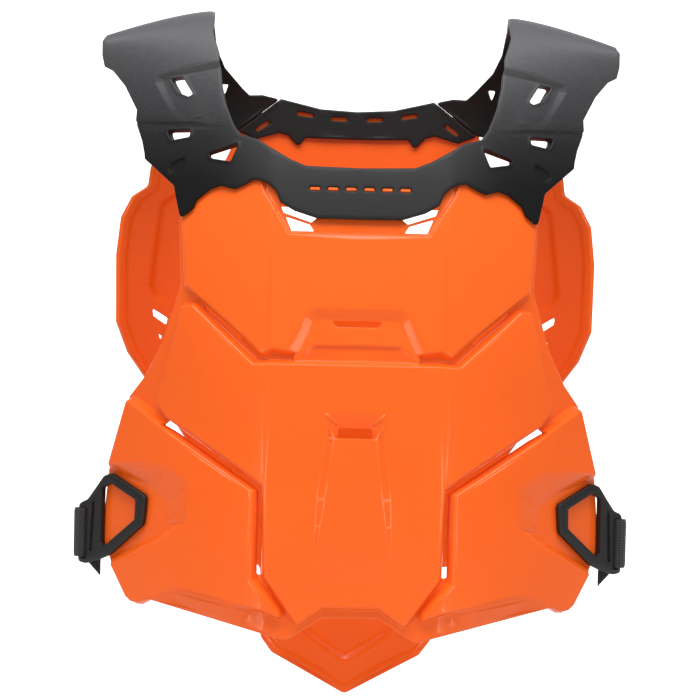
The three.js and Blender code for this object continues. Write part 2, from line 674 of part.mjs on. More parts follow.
addPiece("front_shell", bend(frontShell(), bendFront, FRONT_BANDS), shellMaterial);
addPiece("back_shell", bend(backShell(), bendBack, BACK_BANDS), shellMaterial);
addPiece("collar_yoke", bend(collarYoke(), bendYoke, YOKE_BANDS, ARCH_ERROR), trimMaterial);
addPiece("back_collar", bend(backCollar(), bendYokeBack, COLLAR_BANDS), trimMaterial);
addPiece("right_hook_ring", flatToSpace(hookRing(), ringFrame(1), false), trimMaterial);
addPiece("left_hook_ring", flatToSpace(hookRing(), ringFrame(-1), true), trimMaterial);
addPiece("right_strap", strap(1), webMaterial);
addPiece("left_strap", strap(-1), webMaterial);

export default group;
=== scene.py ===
"""Roost deflector: a moulded chest and back guard, dressed over its solids.

Plan sizes are in millimetres: u to the side, v up, w out of the sheet. Each piece is
drawn flat and then bent round the torso, and its mesh is stored in metres.
"""
import math

import bpy
import numpy as np
from mathutils import Matrix, Vector
from mathutils.geometry import delaunay_2d_cdt
from mathutils.kdtree import KDTree


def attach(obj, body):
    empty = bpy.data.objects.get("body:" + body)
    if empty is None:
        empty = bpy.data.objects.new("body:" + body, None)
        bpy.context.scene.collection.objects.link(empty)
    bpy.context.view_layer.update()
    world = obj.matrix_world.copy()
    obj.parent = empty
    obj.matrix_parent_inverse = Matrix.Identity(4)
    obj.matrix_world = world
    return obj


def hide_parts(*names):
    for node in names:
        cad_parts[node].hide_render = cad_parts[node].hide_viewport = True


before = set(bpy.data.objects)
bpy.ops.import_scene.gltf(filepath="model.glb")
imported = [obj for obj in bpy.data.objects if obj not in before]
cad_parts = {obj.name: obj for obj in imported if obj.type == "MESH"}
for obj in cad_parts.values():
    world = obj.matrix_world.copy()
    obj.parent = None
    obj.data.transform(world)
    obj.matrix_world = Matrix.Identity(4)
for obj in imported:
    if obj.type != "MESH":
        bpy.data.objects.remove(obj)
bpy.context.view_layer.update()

bl_info = {
    "name": "Roost Deflector",
    "version": (1, 0, 0),
    "blender": (4, 5, 0),
    "location": "3D View > Sidebar > Roost Deflector",
    "description": "Makes a moulded chest and back guard with arched pads and side straps",
    "category": "Add Mesh",
}

# Torso that the shells are bent round.
FRONT_REACH = 120
BACK_REACH = 116
COLUMN_HALF = 65
COLUMN_BOW = 2.5
FLANK_END = 160
CHEST_FLARE = (0.28, 0.0024)
WAIST_FLARE = (0.36, 0.0033)
FLARE_FROM = 150
FLARE_TO = 330
PEAK_HEIGHT = 290
CHEST_LEAN = (24, 170)
BELLY_LEAN = (12, 190)
BACK_HALF = 195
BACK_WRAP = 88
BACK_POWER = 2.3
PAD_RISE = 10
PAD_TOP = -3.2
PAD_TOP_FROM = 118
PAD_TOP_FALL = 0.057
PAD_TOP_POWER = 1.35
ARCH_FRONT = -90
ARCH_TOP = 50
ARCH_BACK = 200
ARCH_BACK_HEIGHT = -80
YOKE_GAP = 0.8
BACK_GAP = 0.5
SEAM_GAP = 0.2
YOKE_THICK = 3.2
WALL = 2.5
SIDE_WALL = 1.7
PLATE_RISE = 6.0

# Front shell: the right half of each outline.
FRONT_OUTLINE = [
    (0, -136), (46, -136), (76, -119), (108, -124), (131, -152), (136.5, -166),
    (134, -215), (146.8, -257.7), (160.6, -284.7), (172.5, -300.5), (187, -357),
    (191.5, -404), (190, -416), (186, -425.5), (169.5, -455.5), (164, -459.8), (159, -459.6),
    (148.5, -454.3), (58, -477.4), (48, -479.8), (21.5, -462.3), (0, -461.8),
]
CHEST_PLATE = [
    (52.5, -176.3), (70, -145), (76, -123), (106, -129), (126, -154), (131.5, -166),
    (127.5, -215.5), (69, -265.5), (63, -261.5), (52, -263), (36.5, -263), (0, -263),
]
CHEST_NOTCH = [(0, -230.8), (32.5, -230.8), (39.4, -236.3), (53, -266), (53, -275), (0, -275)]
NOTCH_LEDGE = [(0, -254), (41, -254), (46.6, -266), (46.6, -276), (0, -276)]
TONGUE_TOP = [(0, -258), (33.2, -258), (43.7, -268.6), (43.7, -276), (0, -276)]
TONGUE_FLOOR = [(0, -258.9), (29.4, -258.9), (38.6, -269.4), (38.6, -276), (0, -276)]
LOWER_PLATE = [
    (0, -272.6), (64, -272.6), (75.5, -273.2), (121, -230.4), (129, -231.2),
    (135, -257), (147.5, -303), (138.5, -315.5), (66, -363.5), (64.5, -431.5),
    (40, -466.6), (21, -452.8), (0, -452.8),
]
WING_PLATE = [
    (169, -302), (144, -320), (133, -328.4), (72.6, -368), (72.6, -434), (50, -463),
    (66, -456), (86, -452), (131.5, -443.6), (145, -451.5), (158, -457), (163, -456.3),
    (167, -453), (182.5, -424), (187, -414), (188.3, -404), (184, -357),
]
POCKET_TOP = [
    (137, -352), (119.5, -363.5), (120.3, -393), (136, -405.6), (190, -436), (230, -440),
    (230, -340), (184, -352),
]
POCKET_FLOOR = [
    (150, -369), (139.5, -379), (138.8, -397), (148, -405), (187, -428), (230, -434),
    (230, -346), (184, -357),
]
UPPER_VENT_PATH = [(114, -230.4), (86.5, -255)]
WINDOW = [(55.2, -163), (37, -168.8), (33.5, -174), (50.5, -174)]
WINDOW_STRIP = [(59.5, -153.5), (31.5, -163.8), (36, -167.4), (56.8, -160.4)]
CHEST_SLOT = [(0, -240), (18.6, -240), (15.6, -244.4), (0, -244.4)]
RAMP_TOP = [(0, -307.6), (23, -307.6), (15.5, -328), (0, -328)]
RAMP_FLOOR = [(0, -318.6), (12.6, -318.6), (12.6, -327.4), (0, -327.4)]
RAMP_RIDGE = [(22.4, -308.4), (12.9, -317.8)]
RIDGE_WIDTH = 3.4
RIDGE_RISE = 1.3
SCOOP_SLOT = [(0, -319.6), (12, -319.6), (13.4, -327), (0, -327)]
HOOD_FOOT = [(0, -327.2), (21.5, -327.2), (28, -372), (28.2, -392), (29.5, -437), (0, -437)]
HOOD_TOP = [(0, -327.2), (16, -327.2), (20.5, -372), (24, -392), (29.4, -436.8), (0, -436.8)]
HOOD_LINE = ((-437, 0.0), (-392, 0.45), (-372, 0.62), (-327.2, 1.0))
SHELF_RISE = 4.2
LOW_EDGE_BEVEL = 16
NOTCH_LEVEL = 2.2
NOTCH_WALL = 8.6
LEDGE_BEVEL = 1.6
RAMP_DEPTH = 2.9
POCKET_LEVEL = 2
VENT_WIDTH = 4.2
ABOVE_ALL = 99

# Back shell.
BACK_OUTLINE = [
    (0, -70), (30, -68.4), (60, -63.6), (90, -75), (98, -82), (102, -101), (107, -112), (150, -113),
    (164, -116), (166, -134), (178, -143),
    (186, -160), (189, -190), (188, -243), (179, -267), (166, -286), (128, -342),
    (112, -382), (112, -430), (71, -437), (68, -480), (69.5, -495), (60, -508), (0, -541),
]
BACK_PANEL = [
    (0, -121), (62, -121), (100, -123), (122, -125), (155, -148), (162, -214), (158, -221),
    (144, -229),
    (138, -252), (112, -322), (84, -372), (56, -436), (48, -474), (30, -492), (0, -512),
]
BACK_VENT = [(162, -231), (149, -239), (150, -245), (161, -237.5)]
BACK_PANEL_SIDE = (4.4, 2.0, 1.6)
BACK_SMALL_VENT = [(157, -251), (153, -253.5), (155, -257)]
BACK_WINDOW = [(30, -146), (70, -146), (67, -166), (33, -166)]
BACK_STRAP_SLOT = [(93.5, -427.5), (103.5, -427.5), (103.5, -386.5), (93.5, -386.5)]

# Yoke and back collar.
YOKE_RIGHT = [
    (0, -165.7), (31, -165.5), (48.5, -160), (58.8, -154), (62.5, -145.5), (66.1, -140.8),
    (70.5, -138.3), (77, -137.3), (83.5, -141), (91, -144.5), (101.5, -141.8), (109, -144.5),
    (119, -152.5), (121.5, -159), (130.5, -166), (134.5, -149), (136, -141.6), (158.9, -121),
    (159.4, -116.3), (161.5, -107), (166, -95), (166, -83), (177, -60.7), (187.5, -43),
    (195, -35), (198, -16), (199, 12), (199, 50), (195, 78), (180, 105), (158, 130),
    (138, 150), (129, 166), (124, 184), (117, 199), (108, 208), (99.3, 206.5), (64, 178.5),
    (78.5, 175.3),
    (89, 176), (94.8, 170), (109, 150), (115, 128), (116, 90), (114, 50), (113, 12),
    (113, -7), (111, -17), (106.5, -34), (106.3, -43), (104.5, -59), (99.8, -79),
    (93, -95.5), (88, -103), (75, -106.7), (67, -112), (52.5, -121.5), (40.5, -126.4),
    (0, -127.5),
]
PAD_VENTS = [
    [(143, -56), (134, -55), (124.5, -71), (127.5, -73), (136, -69)],
    [(142, -99.5), (124, -99.5), (125, -105), (139, -107.5)],
    [(111, -118), (88, -109.5), (94, -124), (108, -121.5)],
    [(112.5, 167), (106, 166.5), (109.5, 179)],
]
PAD_RECESS = [
    (95, -43), (108, -43), (143, -51), (152, -53), (153, -60), (147, -72),
    (138, -88), (128, -97), (95, -97),
]
PAD_LEDGE = [(172, -91.5), (113, -95), (117, -103), (172, -116)]
PAD_DIMPLE = [
    (127.5, -119.5), (133, -121.5), (138.5, -125), (140, -129.5), (138, -133),
    (133.5, -133), (130, -129.5), (128, -124.5),
]
COLLAR_DASH = {"count": 6, "pitch": 13.4, "length": 8.6, "height": 3, "at": -143.5}
STUD_HEIGHT = 9.4
RECESS_DEPTH = 3.4
RECESS_FOOT = -95
RECESS_FADE = 42
STEP_LINE = ((113, 172), (-95, -91.5))
STEP_RISE = 1.6
STEP_FADE = 26
LEDGE_SIDE = 1.6
BACK_COLLAR = [
    (0, -67.6), (30, -66), (63.4 - SEAM_GAP, -58.8), (98.8 - SEAM_GAP, -86.6), (83.5, -92.3),
    (64, -86.5), (56.5, -88.3), (50, -95.2), (47, -96), (42.5, -89.8), (0, -90.2),
]
BACK_DASHES = [(14.5, -73.8, 0.03), (43, -70.8, 0.13), (78, -81.5, -0.6)]
BACK_DASH = (14, 3.2)

# Hook rings and webbing.
RING_HEIGHT = -395
RING_SEAT = 2.6
RING_EDGE = 207
RING_THICK = 5.0
RING_OUTLINE = [
    (181, -359.5), (153, -375.5), (155, -397.5), (181, -422.6), (190, -427), (201, -431),
    (RING_EDGE, -430), (RING_EDGE, -384.4), (200, -381), (193, -371), (187, -362),
]
RING_OPENING = [
    (180.5, -367.2), (160.3, -378.7), (160.8, -394), (184, -415.3), (188, -415), (187.5, -371),
]
RING_SLOT = [(195.2, -382.5), (192.4, -378), (194.6, -420), (197.4, -422)]
RING_REEVE = [(199.2, -387.3), (203.2, -387.3), (203.2, -426.7), (199.2, -426.7)]
STRAP_MID = -407
STRAP_TAIL_DROP = 15
STRAP_GAP = 0.6
TAIL_TURN = ((4.6, 7.2), (2.4, 4.2), (0.4, 1.4))
WAIST_ROUTE = ((1.024, 0.19), (1, 0.397), (0.932, 0.603), (0.812, 0.784), (0.657, 0.888))
BACK_SLOT_SIDES = (93.5, 103.5)
STRAP_LEAD = 12.5
STRAP_ANCHOR = 10.5

# Studio, in metres and watts. The side lamps stand in mirrored pairs.
SWEEP_FROM = 3.4
SWEEP_RADIUS = 1.2
SWEEP_REACH = 4.0
ROOM_LIGHT = 0.36
LIT_POINT = (0, 0, -0.25)
WARM = (1, 0.9, 0.66)
SIDE_LAMPS = {
    "low_softbox": {"at": (0.69, -1.02, -0.5), "size": 0.2, "power": 0.9},
    "floor_softbox": {"at": (0.41, -0.54, -0.69), "size": 0.16, "power": 0.42},
}


def smooth(low, high, value):
    t = np.clip((value - low) / (high - low), 0, 1)
    return t * t * (3 - 2 * t)


def bow(x, flare):
    """How far the front sheet falls back at each distance from the centre line."""
    slope, curl = flare
    side = np.abs(x)
    out = np.clip(side, COLUMN_HALF, FLANK_END) - COLUMN_HALF
    flank = COLUMN_BOW + slope * out + curl * out * out
    tip = np.maximum(0, side - FLANK_END) * (slope + 2 * curl * out)
    return np.where(side <= COLUMN_HALF, COLUMN_BOW * (side / COLUMN_HALF) ** 2, flank + tip)


def front_sheet(u, v):
    low = smooth(FLARE_FROM, FLARE_TO, -v)
    wrap = bow(u, CHEST_FLARE) * (1 - low) + bow(u, WAIST_FLARE) * low
    above = v + PEAK_HEIGHT
    chest = CHEST_LEAN[0] * (above / CHEST_LEAN[1]) ** 2
    belly = BELLY_LEAN[0] * (above / BELLY_LEAN[1]) ** 2
    y = -FRONT_REACH + np.where(above > 0, chest, belly) + wrap
    return np.stack([u, y, v], axis=1)


def back_sheet(u, v):
    y = BACK_REACH - BACK_WRAP * (np.abs(u) / BACK_HALF) ** BACK_POWER
    return np.stack([-u, y, v], axis=1)


def normals(sheet, u, v, step=0.5):
    along = sheet(u + step, v) - sheet(u - step, v)
    up = sheet(u, v + step) - sheet(u, v - step)
    out = np.cross(along, up)
    return out / np.linalg.norm(out, axis=1, keepdims=True)


def bender(sheet, lift=0.0):
    def place(u, v, w):
        return sheet(u, v) + normals(sheet, u, v) * (np.asarray(w) + lift)[:, None]

    return place


bend_front = bender(front_sheet)
bend_back = bender(back_sheet)


def yoke_sheet(u, v):
    """v runs up the chest as a height, over the shoulder and down the back."""
    zero = np.zeros_like(u)
    lift = zero + PLATE_RISE + YOKE_GAP
    layer = zero - (WALL + BACK_GAP + YOKE_THICK)

    def front_at(height):
        return bend_front(u, height, lift)

    def back_at(height):
        return bend_back(-u, height, layer)

    outer = np.maximum(0, np.abs(u) - PAD_TOP_FROM)
    top = np.stack([u, zero, PAD_TOP - PAD_TOP_FALL * outer**PAD_TOP_POWER], axis=1)
    level = np.array([0.0, 1.0, 0.0])

    def hermite(start, leave, end, arrive, t):
        t = t[:, None]
        return (
            start * (2 * t**3 - 3 * t**2 + 1)
            + leave * (t**3 - 2 * t**2 + t)
            + end * (3 * t**2 - 2 * t**3)
            + arrive * (t**3 - t**2)
        )

    rise = ARCH_TOP - ARCH_FRONT
    fall = ARCH_BACK - ARCH_TOP
    foot = front_at(zero + ARCH_FRONT)
    leave = (foot - front_at(zero + ARCH_FRONT - 1)) * rise
    heel = back_at(zero + ARCH_BACK_HEIGHT)
    arrive = (back_at(zero + ARCH_BACK_HEIGHT - 1) - heel) * fall
    up = hermite(foot, leave, top, level * rise, (v - ARCH_FRONT) / rise)
    down = hermite(top, level * fall, heel, arrive, (v - ARCH_TOP) / fall)
    result = np.where((v < ARCH_TOP)[:, None], up, down)
    result = np.where((v <= ARCH_FRONT)[:, None], front_at(np.minimum(v, ARCH_FRONT)), result)
    below = back_at(ARCH_BACK_HEIGHT - np.maximum(0, v - ARCH_BACK))
    return np.where((v >= ARCH_BACK)[:, None], below, result)


bend_yoke = bender(yoke_sheet)
bend_back_layer = bender(back_sheet, -(WALL + BACK_GAP + YOKE_THICK))


def whole(half):
    return list(half) + [(-u, v) for u, v in reversed(half) if abs(u) > 1e-6]


def mirror(points):
    return [(-u, v) for u, v in reversed(points)]


def counter_clockwise(points):
    area = sum(a[0] * b[1] - b[0] * a[1] for a, b in zip(points, points[1:] + points[:1]))
    return list(points) if area > 0 else list(reversed(points))


def grow(points, by):
    """Moves every side of an outline outwards by the same distance."""
    points = counter_clockwise(points)
    count = len(points)
    result = []
    for i, (u, v) in enumerate(points):
        before = points[i - 1]
        after = points[(i + 1) % count]
        a = np.array([u - before[0], v - before[1]], float)
        b = np.array([after[0] - u, after[1] - v], float)
        a /= np.linalg.norm(a)
        b /= np.linalg.norm(b)
        na = np.array([a[1], -a[0]])
        nb = np.array([b[1], -b[0]])
        mid = na + nb
        mid /= np.linalg.norm(mid)
        reach = by / max(0.35, float(mid @ na))
        result.append((u + mid[0] * reach, v + mid[1] * reach))
    return result


def rounded(points, radius, steps=3):
    """Rounds the corners of an outline that turn by more than a few degrees."""
    points = counter_clockwise(points)
    count = len(points)
    result = []
    for i, corner in enumerate(points):
        p = np.array(corner, float)
        a = np.array(points[i - 1], float) - p
        b = np.array(points[(i + 1) % count], float) - p
        la, lb = np.linalg.norm(a), np.linalg.norm(b)
        a /= la
        b /= lb
        turn = math.pi - math.acos(float(np.clip(a @ b, -1, 1)))
        cut = min(radius * math.tan(turn / 2), 0.45 * la, 0.45 * lb)
        if turn < 0.12 or cut < 0.15:
            result.append(tuple(p))
            continue
        start, end = p + a * cut, p + b * cut
        for k in range(steps + 1):
            t = k / steps
            point = start * (1 - t) ** 2 + p * 2 * t * (1 - t) + end * t**2
            result.append((float(point[0]), float(point[1])))
    return result


def edge_distance(u, v, points):
    """Distance outside an outline, negative inside, with its corners kept sharp."""
    points = counter_clockwise(points)
    a = np.array(points, float)
    b = np.roll(a, -1, axis=0)
    length = np.linalg.norm(b - a, axis=1)
    along_dir = (b - a) / length[:, None]
    out_dir = np.stack([along_dir[:, 1], -along_dir[:, 0]], axis=1)
    turn = np.roll(along_dir, 1, axis=0)
    convex = turn[:, 0] * along_dir[:, 1] - turn[:, 1] * along_dir[:, 0] > 0
    result = np.empty(len(u))
    for start in range(0, len(u), 20000):
        part = slice(start, start + 20000)
        rel_u = u[part, None] - a[None, :, 0]
        rel_v = v[part, None] - a[None, :, 1]
        along = rel_u * along_dir[:, 0] + rel_v * along_dir[:, 1]
        side = rel_u * out_dir[:, 0] + rel_v * out_dir[:, 1]
        over = along - np.clip(along, 0, length)
        near = np.argmin(side**2 + over**2, axis=1)
        rows = np.arange(len(near))
        at = along[rows, near]
        corner = np.where(at <= 0, near, (near + 1) % len(a))
        before = (corner - 1) % len(a)
        s1, s2 = side[rows, before], side[rows, corner]
        mitre = np.where(convex[corner], np.maximum(s1, s2), np.minimum(s1, s2))
        inside = (at > 0) & (at < length[near])
        result[part] = np.where(inside, side[rows, near], mitre)
    return result


def line_gaps(points, segments, spacing=0.6):
    """Distance from each point to the nearest of many short lines."""
    dots = []
    for a, b in segments:
        count = max(1, int(np.linalg.norm(b - a) / spacing))
        t = np.arange(count)[:, None] / count
        dots.append(a * (1 - t) + b * t)
    dots = np.concatenate(dots)
    tree = KDTree(len(dots))
    for i, (u, v) in enumerate(dots):
        tree.insert((u, v, 0), i)
    tree.balance()
    return np.array([tree.find((u, v, 0))[2] for u, v in points])


def ramp(x, soft):
    """Zero below 0 and x above it, with the corner eased over soft each way."""
    return np.where(x < -soft, 0, np.where(x > soft, x, (x + soft) ** 2 / (4 * soft)))


def raised(s, rise, bevel, soft=0.9, foot=0.6):
    return rise - rise / bevel * (ramp(s, soft) - ramp(s - bevel, foot))


def sunk(s, level, floor, wall, soft=0.7, foot=0.6):
    slope = (level - floor) / wall
    return level - slope * (ramp(-s, soft) - ramp(-s - wall, foot))


def ribbon_around(path, width):
    """Outline of a band of one width along a path."""
    points = np.array(path, float)
    left, right = [], []
    for i, p in enumerate(points):
        inward = p - points[i - 1] if i > 0 else points[1] - p
        outward = points[i + 1] - p if i + 1 < len(points) else inward
        inward = inward / np.linalg.norm(inward)
        outward = outward / np.linalg.norm(outward)
        along = inward + outward
        along /= np.linalg.norm(along)
        reach = width / 2 / max(0.3, float(along @ inward))
        side = np.array([-along[1], along[0]]) * reach
        left.append(tuple(p + side))
        right.append(tuple(p - side))
    return left + right[::-1]


def hexagrid(low_u, high_u, low_v, high_v, pitch):
    rows = []
    height = pitch * math.sqrt(3) / 2
    for k, v in enumerate(np.arange(low_v, high_v, height)):
        us = np.arange(low_u + (pitch / 2 if k % 2 else 0), high_u, pitch)
        rows.append(np.stack([us, np.full(len(us), v)], axis=1))
    return np.concatenate(rows)


def plan_mesh(outline, holes, loops, lines, pitch, fine):
    """Triangles that fill an outline less its holes and keep every loop and line as edges."""
    spots, edges = [], []

    def add(points, closed):
        first = len(spots)
        spots.extend(points)
        last = len(points) if closed else len(points) - 1
        for i in range(last):
            edges.append((first + i, first + (i + 1) % len(points)))

    for loop in [outline, *holes, *loops]:
        add(loop, True)
    for line in lines:
        add(line, False)
    flat = np.array(spots, float)
    segments = np.array([[flat[a], flat[b]] for a, b in edges])
    low, high = np.array(outline).min(axis=0), np.array(outline).max(axis=0)
    near = hexagrid(low[0], high[0], low[1], high[1], fine)
    far = hexagrid(low[0], high[0], low[1], high[1], pitch)
    near = near[edge_distance(near[:, 0], near[:, 1], outline) < 0]
    far = far[edge_distance(far[:, 0], far[:, 1], outline) < 0]
    near_gap = line_gaps(near, segments)
    far_gap = line_gaps(far, segments)
    near = near[(near_gap > 0.55 * fine) & (near_gap < 2.2 * fine)]
    far = far[far_gap > 2.2 * fine + 0.4 * pitch]
    inner = np.concatenate([near, far])
    verts = [Vector(p) for p in np.concatenate([flat, inner])]
    out_verts, _, out_faces, *_ = delaunay_2d_cdt(verts, edges, [], 0, 1e-4)
    points = np.array([tuple(p) for p in out_verts])
    faces = np.array([tuple(f) for f in out_faces], int)
    middle = points[faces].mean(axis=1)
    keep = edge_distance(middle[:, 0], middle[:, 1], outline) < 0
    for hole in holes:
        keep &= edge_distance(middle[:, 0], middle[:, 1], hole) > 0
    a, b, c = (points[faces[:, k]] for k in range(3))
    area = (b[:, 0] - a[:, 0]) * (c[:, 1] - a[:, 1]) - (b[:, 1] - a[:, 1]) * (c[:, 0] - a[:, 0])
    faces = np.where((area > 0)[:, None], faces, faces[:, ::-1])
    faces = faces[keep & (np.abs(area) > 1e-5)]
    used = np.unique(faces)
    index = np.full(len(points), -1)
    index[used] = np.arange(len(used))
    return points[used], index[faces]


def moulding(name, outline, holes, loops, lines, tops, unders, place, pitch=5.0, fine=1.8, rim=0.9):
    """A sheet moulding: tops and unders give the height of each side over the plan."""
    outline = counter_clockwise(outline)
    holes = [counter_clockwise(hole) for hole in holes]
    edge_rings = [grow(outline, -k * rim) for k in (0.12, 0.45, 1.0)]
    hole_rings = [grow(hole, k * rim * 0.6) for hole in holes for k in (0.15, 0.5, 1.0)]
    points, faces = plan_mesh(
        outline, holes, edge_rings + hole_rings + loops, lines, pitch, fine
    )
    u, v = points[:, 0], points[:, 1]
    edge = edge_distance(u, v, outline)
    into = np.maximum(0, edge + rim)
    ease = rim - np.sqrt(np.maximum(0, rim**2 - np.minimum(into, rim) ** 2))
    for hole in holes:
        small = rim * 0.6
        into = np.maximum(0, small - edge_distance(u, v, hole))
        ease = np.maximum(ease, small - np.sqrt(np.maximum(0, small**2 - np.minimum(into, small) ** 2)))
    upper = place(u, v, tops(u, v) - ease)
    lower = place(u, v, unders(u, v) + ease)
    count = len(points)
    sides = {}
    for a, b, c in faces:
        for edge_pair in ((a, b), (b, c), (c, a)):
            sides[edge_pair] = sides.get(edge_pair, 0) + 1
    walls = []
    for a, b in sides:
        if (b, a) not in sides:
            walls.append((a, a + count, b + count))
            walls.append((a, b + count, b))
    everything = np.concatenate([faces, faces[:, ::-1] + count, np.array(walls, int)])
    return make_mesh(name, np.concatenate([upper, lower]), everything)


def make_mesh(name, points, faces, uv=None):
    points = np.asarray(points, float).copy()
    points[:, 2] += PAD_RISE
    mesh = bpy.data.meshes.new(name)
    mesh.from_pydata((points * 0.001).tolist(), [], [tuple(map(int, f)) for f in faces])
    mesh.update()
    if mesh.validate():
        raise RuntimeError(f"{name}: its mesh has a wrong face")
    mesh.shade_smooth()
    if uv is not None:
        layer = mesh.uv_layers.new(name="length")
        loops = np.empty(len(mesh.loops), dtype=np.int32)
        mesh.loops.foreach_get("vertex_index", loops)
        layer.data.foreach_set("uv", np.asarray(uv, np.float32)[loops].ravel())
    piece = bpy.data.objects.new(name, mesh)
    bpy.context.scene.collection.objects.link(piece)
    return piece


def dress(piece, material, node):
    piece.data.materials.append(material)
    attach(piece, "root")
    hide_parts(node)


def plate_rings(outline, bevel, soft=0.9, foot=0.6):
    steps = (-soft, -0.35 * soft, 0.3 * soft, soft, bevel - foot, bevel, bevel + foot)
    return [grow(outline, step) for step in steps]


def well_rings(outline, wall, soft=0.7, foot=0.6):
    steps = (soft, 0.3 * soft, -0.3 * soft, -soft, -wall + foot, -wall, -wall - foot)
    return [grow(outline, step) for step in steps]


class ShellSizes(bpy.types.PropertyGroup):
    plate_rise: bpy.props.FloatProperty(
        name="Plate rise",
        description="Height of the chest and lower plates over the groove floor, mm",
        default=PLATE_RISE,
    )
    wing_rise: bpy.props.FloatProperty(
        name="Wing rise", description="Height of the side wings over the groove floor, mm", default=8.0
    )
    bevel: bpy.props.FloatProperty(
        name="Plate bevel", description="Width of the steep side of each plate, mm", default=2.6
    )
    wall: bpy.props.FloatProperty(name="Wall", description="Thickness of the shells, mm", default=WALL)
    hood_rise: bpy.props.FloatProperty(
        name="Hood rise", description="Height of the air scoop's hood over the lower plate, mm", default=5.0
    )
    panel_rise: bpy.props.FloatProperty(
        name="Back panel rise", description="Height of the raised panel of the back shell, mm", default=4.0
    )
    colour: bpy.props.FloatVectorProperty(
        name="Shell colour",
        description="Colour of the glossy shells",
        subtype="COLOR",
        size=3,
        min=0,
        max=1,
        default=(0.95, 0.132, 0.013),
    )


class TrimSizes(bpy.types.PropertyGroup):
    thick: bpy.props.FloatProperty(
        name="Yoke thickness",
        description="Thickness of the yoke and the back collar, mm",
        default=YOKE_THICK,
    )
    ring_thick: bpy.props.FloatProperty(
        name="Ring thickness", description="Thickness of the hook rings, mm", default=RING_THICK
    )
    colour: bpy.props.FloatVectorProperty(
        name="Trim colour",
        description="Colour of the grained black mouldings",
        subtype="COLOR",
        size=3,
        min=0,
        max=1,
        default=(0.010, 0.010, 0.011),
    )


class WebbingSizes(bpy.types.PropertyGroup):
    width: bpy.props.FloatProperty(
        name="Webbing width", description="Width of the side straps, mm", default=38.0
    )
    thick: bpy.props.FloatProperty(
        name="Webbing thickness", description="Thickness of the side straps, mm", default=1.8
    )
    colour: bpy.props.FloatVectorProperty(
        name="Webbing colour",
        description="Colour of the woven straps",
        subtype="COLOR",
        size=3,
        min=0,
        max=1,
        default=(0.010, 0.010, 0.011),
    )


class StudioSettings(bpy.types.PropertyGroup):
    distance: bpy.props.FloatProperty(
        name="Camera distance",
        description="From the camera to the guard's middle",
        default=2.6,
        unit="LENGTH",
    )
    eye_height: bpy.props.FloatProperty(
        name="Camera height",
        description="Height of the camera in the guard's frame",
        default=-0.2512,
        unit="LENGTH",
    )
    sideways: bpy.props.FloatProperty(
        name="Camera offset", description="Sideways place of the camera", default=-0.0033, unit="LENGTH"
    )
    turn: bpy.props.FloatProperty(
        name="Camera turn",
        description="Angle of the camera round the guard",
        default=math.radians(-0.9),
        unit="ROTATION",
    )
    lens: bpy.props.FloatProperty(name="Lens", description="Focal length, mm", default=171.4)
    roll: bpy.props.FloatProperty(
        name="Camera roll", description="Tilt of the picture", default=math.radians(1.3), unit="ROTATION"
    )
    floor_drop: bpy.props.FloatProperty(
        name="Floor height",
        description="Height of the studio floor in the guard's frame",
        default=-0.72,
        unit="LENGTH",
    )
    backdrop: bpy.props.FloatVectorProperty(
        name="Backdrop colour",
        description="Colour of the floor and backdrop",
        subtype="COLOR",
        size=3,
        min=0,
        max=1,
        default=(0.9, 0.9, 0.9),
    )


class MaterialMaker:
    """A small helper that adds nodes and links to one new material."""

    def __init__(self, name):
        self.material = bpy.data.materials.new(name)
        self.material.use_nodes = True
        self.tree = self.material.node_tree
        self.shader = self.tree.nodes["Principled BSDF"]
        self.output = self.tree.nodes["Material Output"]

    def add(self, kind, **values):
        node = self.tree.nodes.new(kind)
        for key, value in values.items():
            if key in node.inputs:
                node.inputs[key].default_value = value
            else:
                setattr(node, key, value)
        return node

    def link(self, start, end):
        self.tree.links.new(start, end)

    def place(self, kind="Object"):
        return self.add("ShaderNodeTexCoord").outputs[kind]

    def noise(self, where, scale, detail=3.0, roughness=0.5):
        node = self.add("ShaderNodeTexNoise")
        node.inputs["Scale"].default_value = scale
        node.inputs["Detail"].default_value = detail
        node.inputs["Roughness"].default_value = roughness
        self.link(where, node.inputs["Vector"])
        return node.outputs["Fac"]

    def ramp(self, value, stops):
        node = self.add("ShaderNodeValToRGB")
        elements = node.color_ramp.elements
        while len(elements) < len(stops):
            elements.new(0.5)
        for element, (position, colour) in zip(elements, stops):
            element.position = position
            element.color = (*colour, 1)
        self.link(value, node.inputs["Fac"])
        return node.outputs["Color"]

    def fade(self, value, start, end, low=0.0, high=1.0, curve="LINEAR"):
        """Goes from low to high while the value goes from start to end."""
        node = self.add("ShaderNodeMapRange", interpolation_type=curve)
        numbers = {"From Min": start, "From Max": end, "To Min": low, "To Max": high}
        for socket, number in numbers.items():
            node.inputs[socket].default_value = number
        self.link(value, node.inputs["Value"])
        return node.outputs["Result"]

    def calculate(self, operation, *values):
        node = self.add("ShaderNodeMath", operation=operation)
        for socket, value in zip(node.inputs, values):
            if isinstance(value, (int, float)):
                socket.default_value = value
            else:
                self.link(value, socket)
        return node.outputs["Value"]

    def axes(self, where):
        node = self.add("ShaderNodeSeparateXYZ")
        self.link(where, node.inputs["Vector"])
        return node.outputs

    def bump(self, height, strength, distance, before=None):
        node = self.add("ShaderNodeBump")
        node.inputs["Strength"].default_value = strength
        node.inputs["Distance"].default_value = distance
        self.link(height, node.inputs["Height"])
        if before is not None:
            self.link(before, node.inputs["Normal"])
        return node.outputs["Normal"]


def tinted(colour, factor):
    return tuple(min(1.0, channel * factor) for channel in colour)


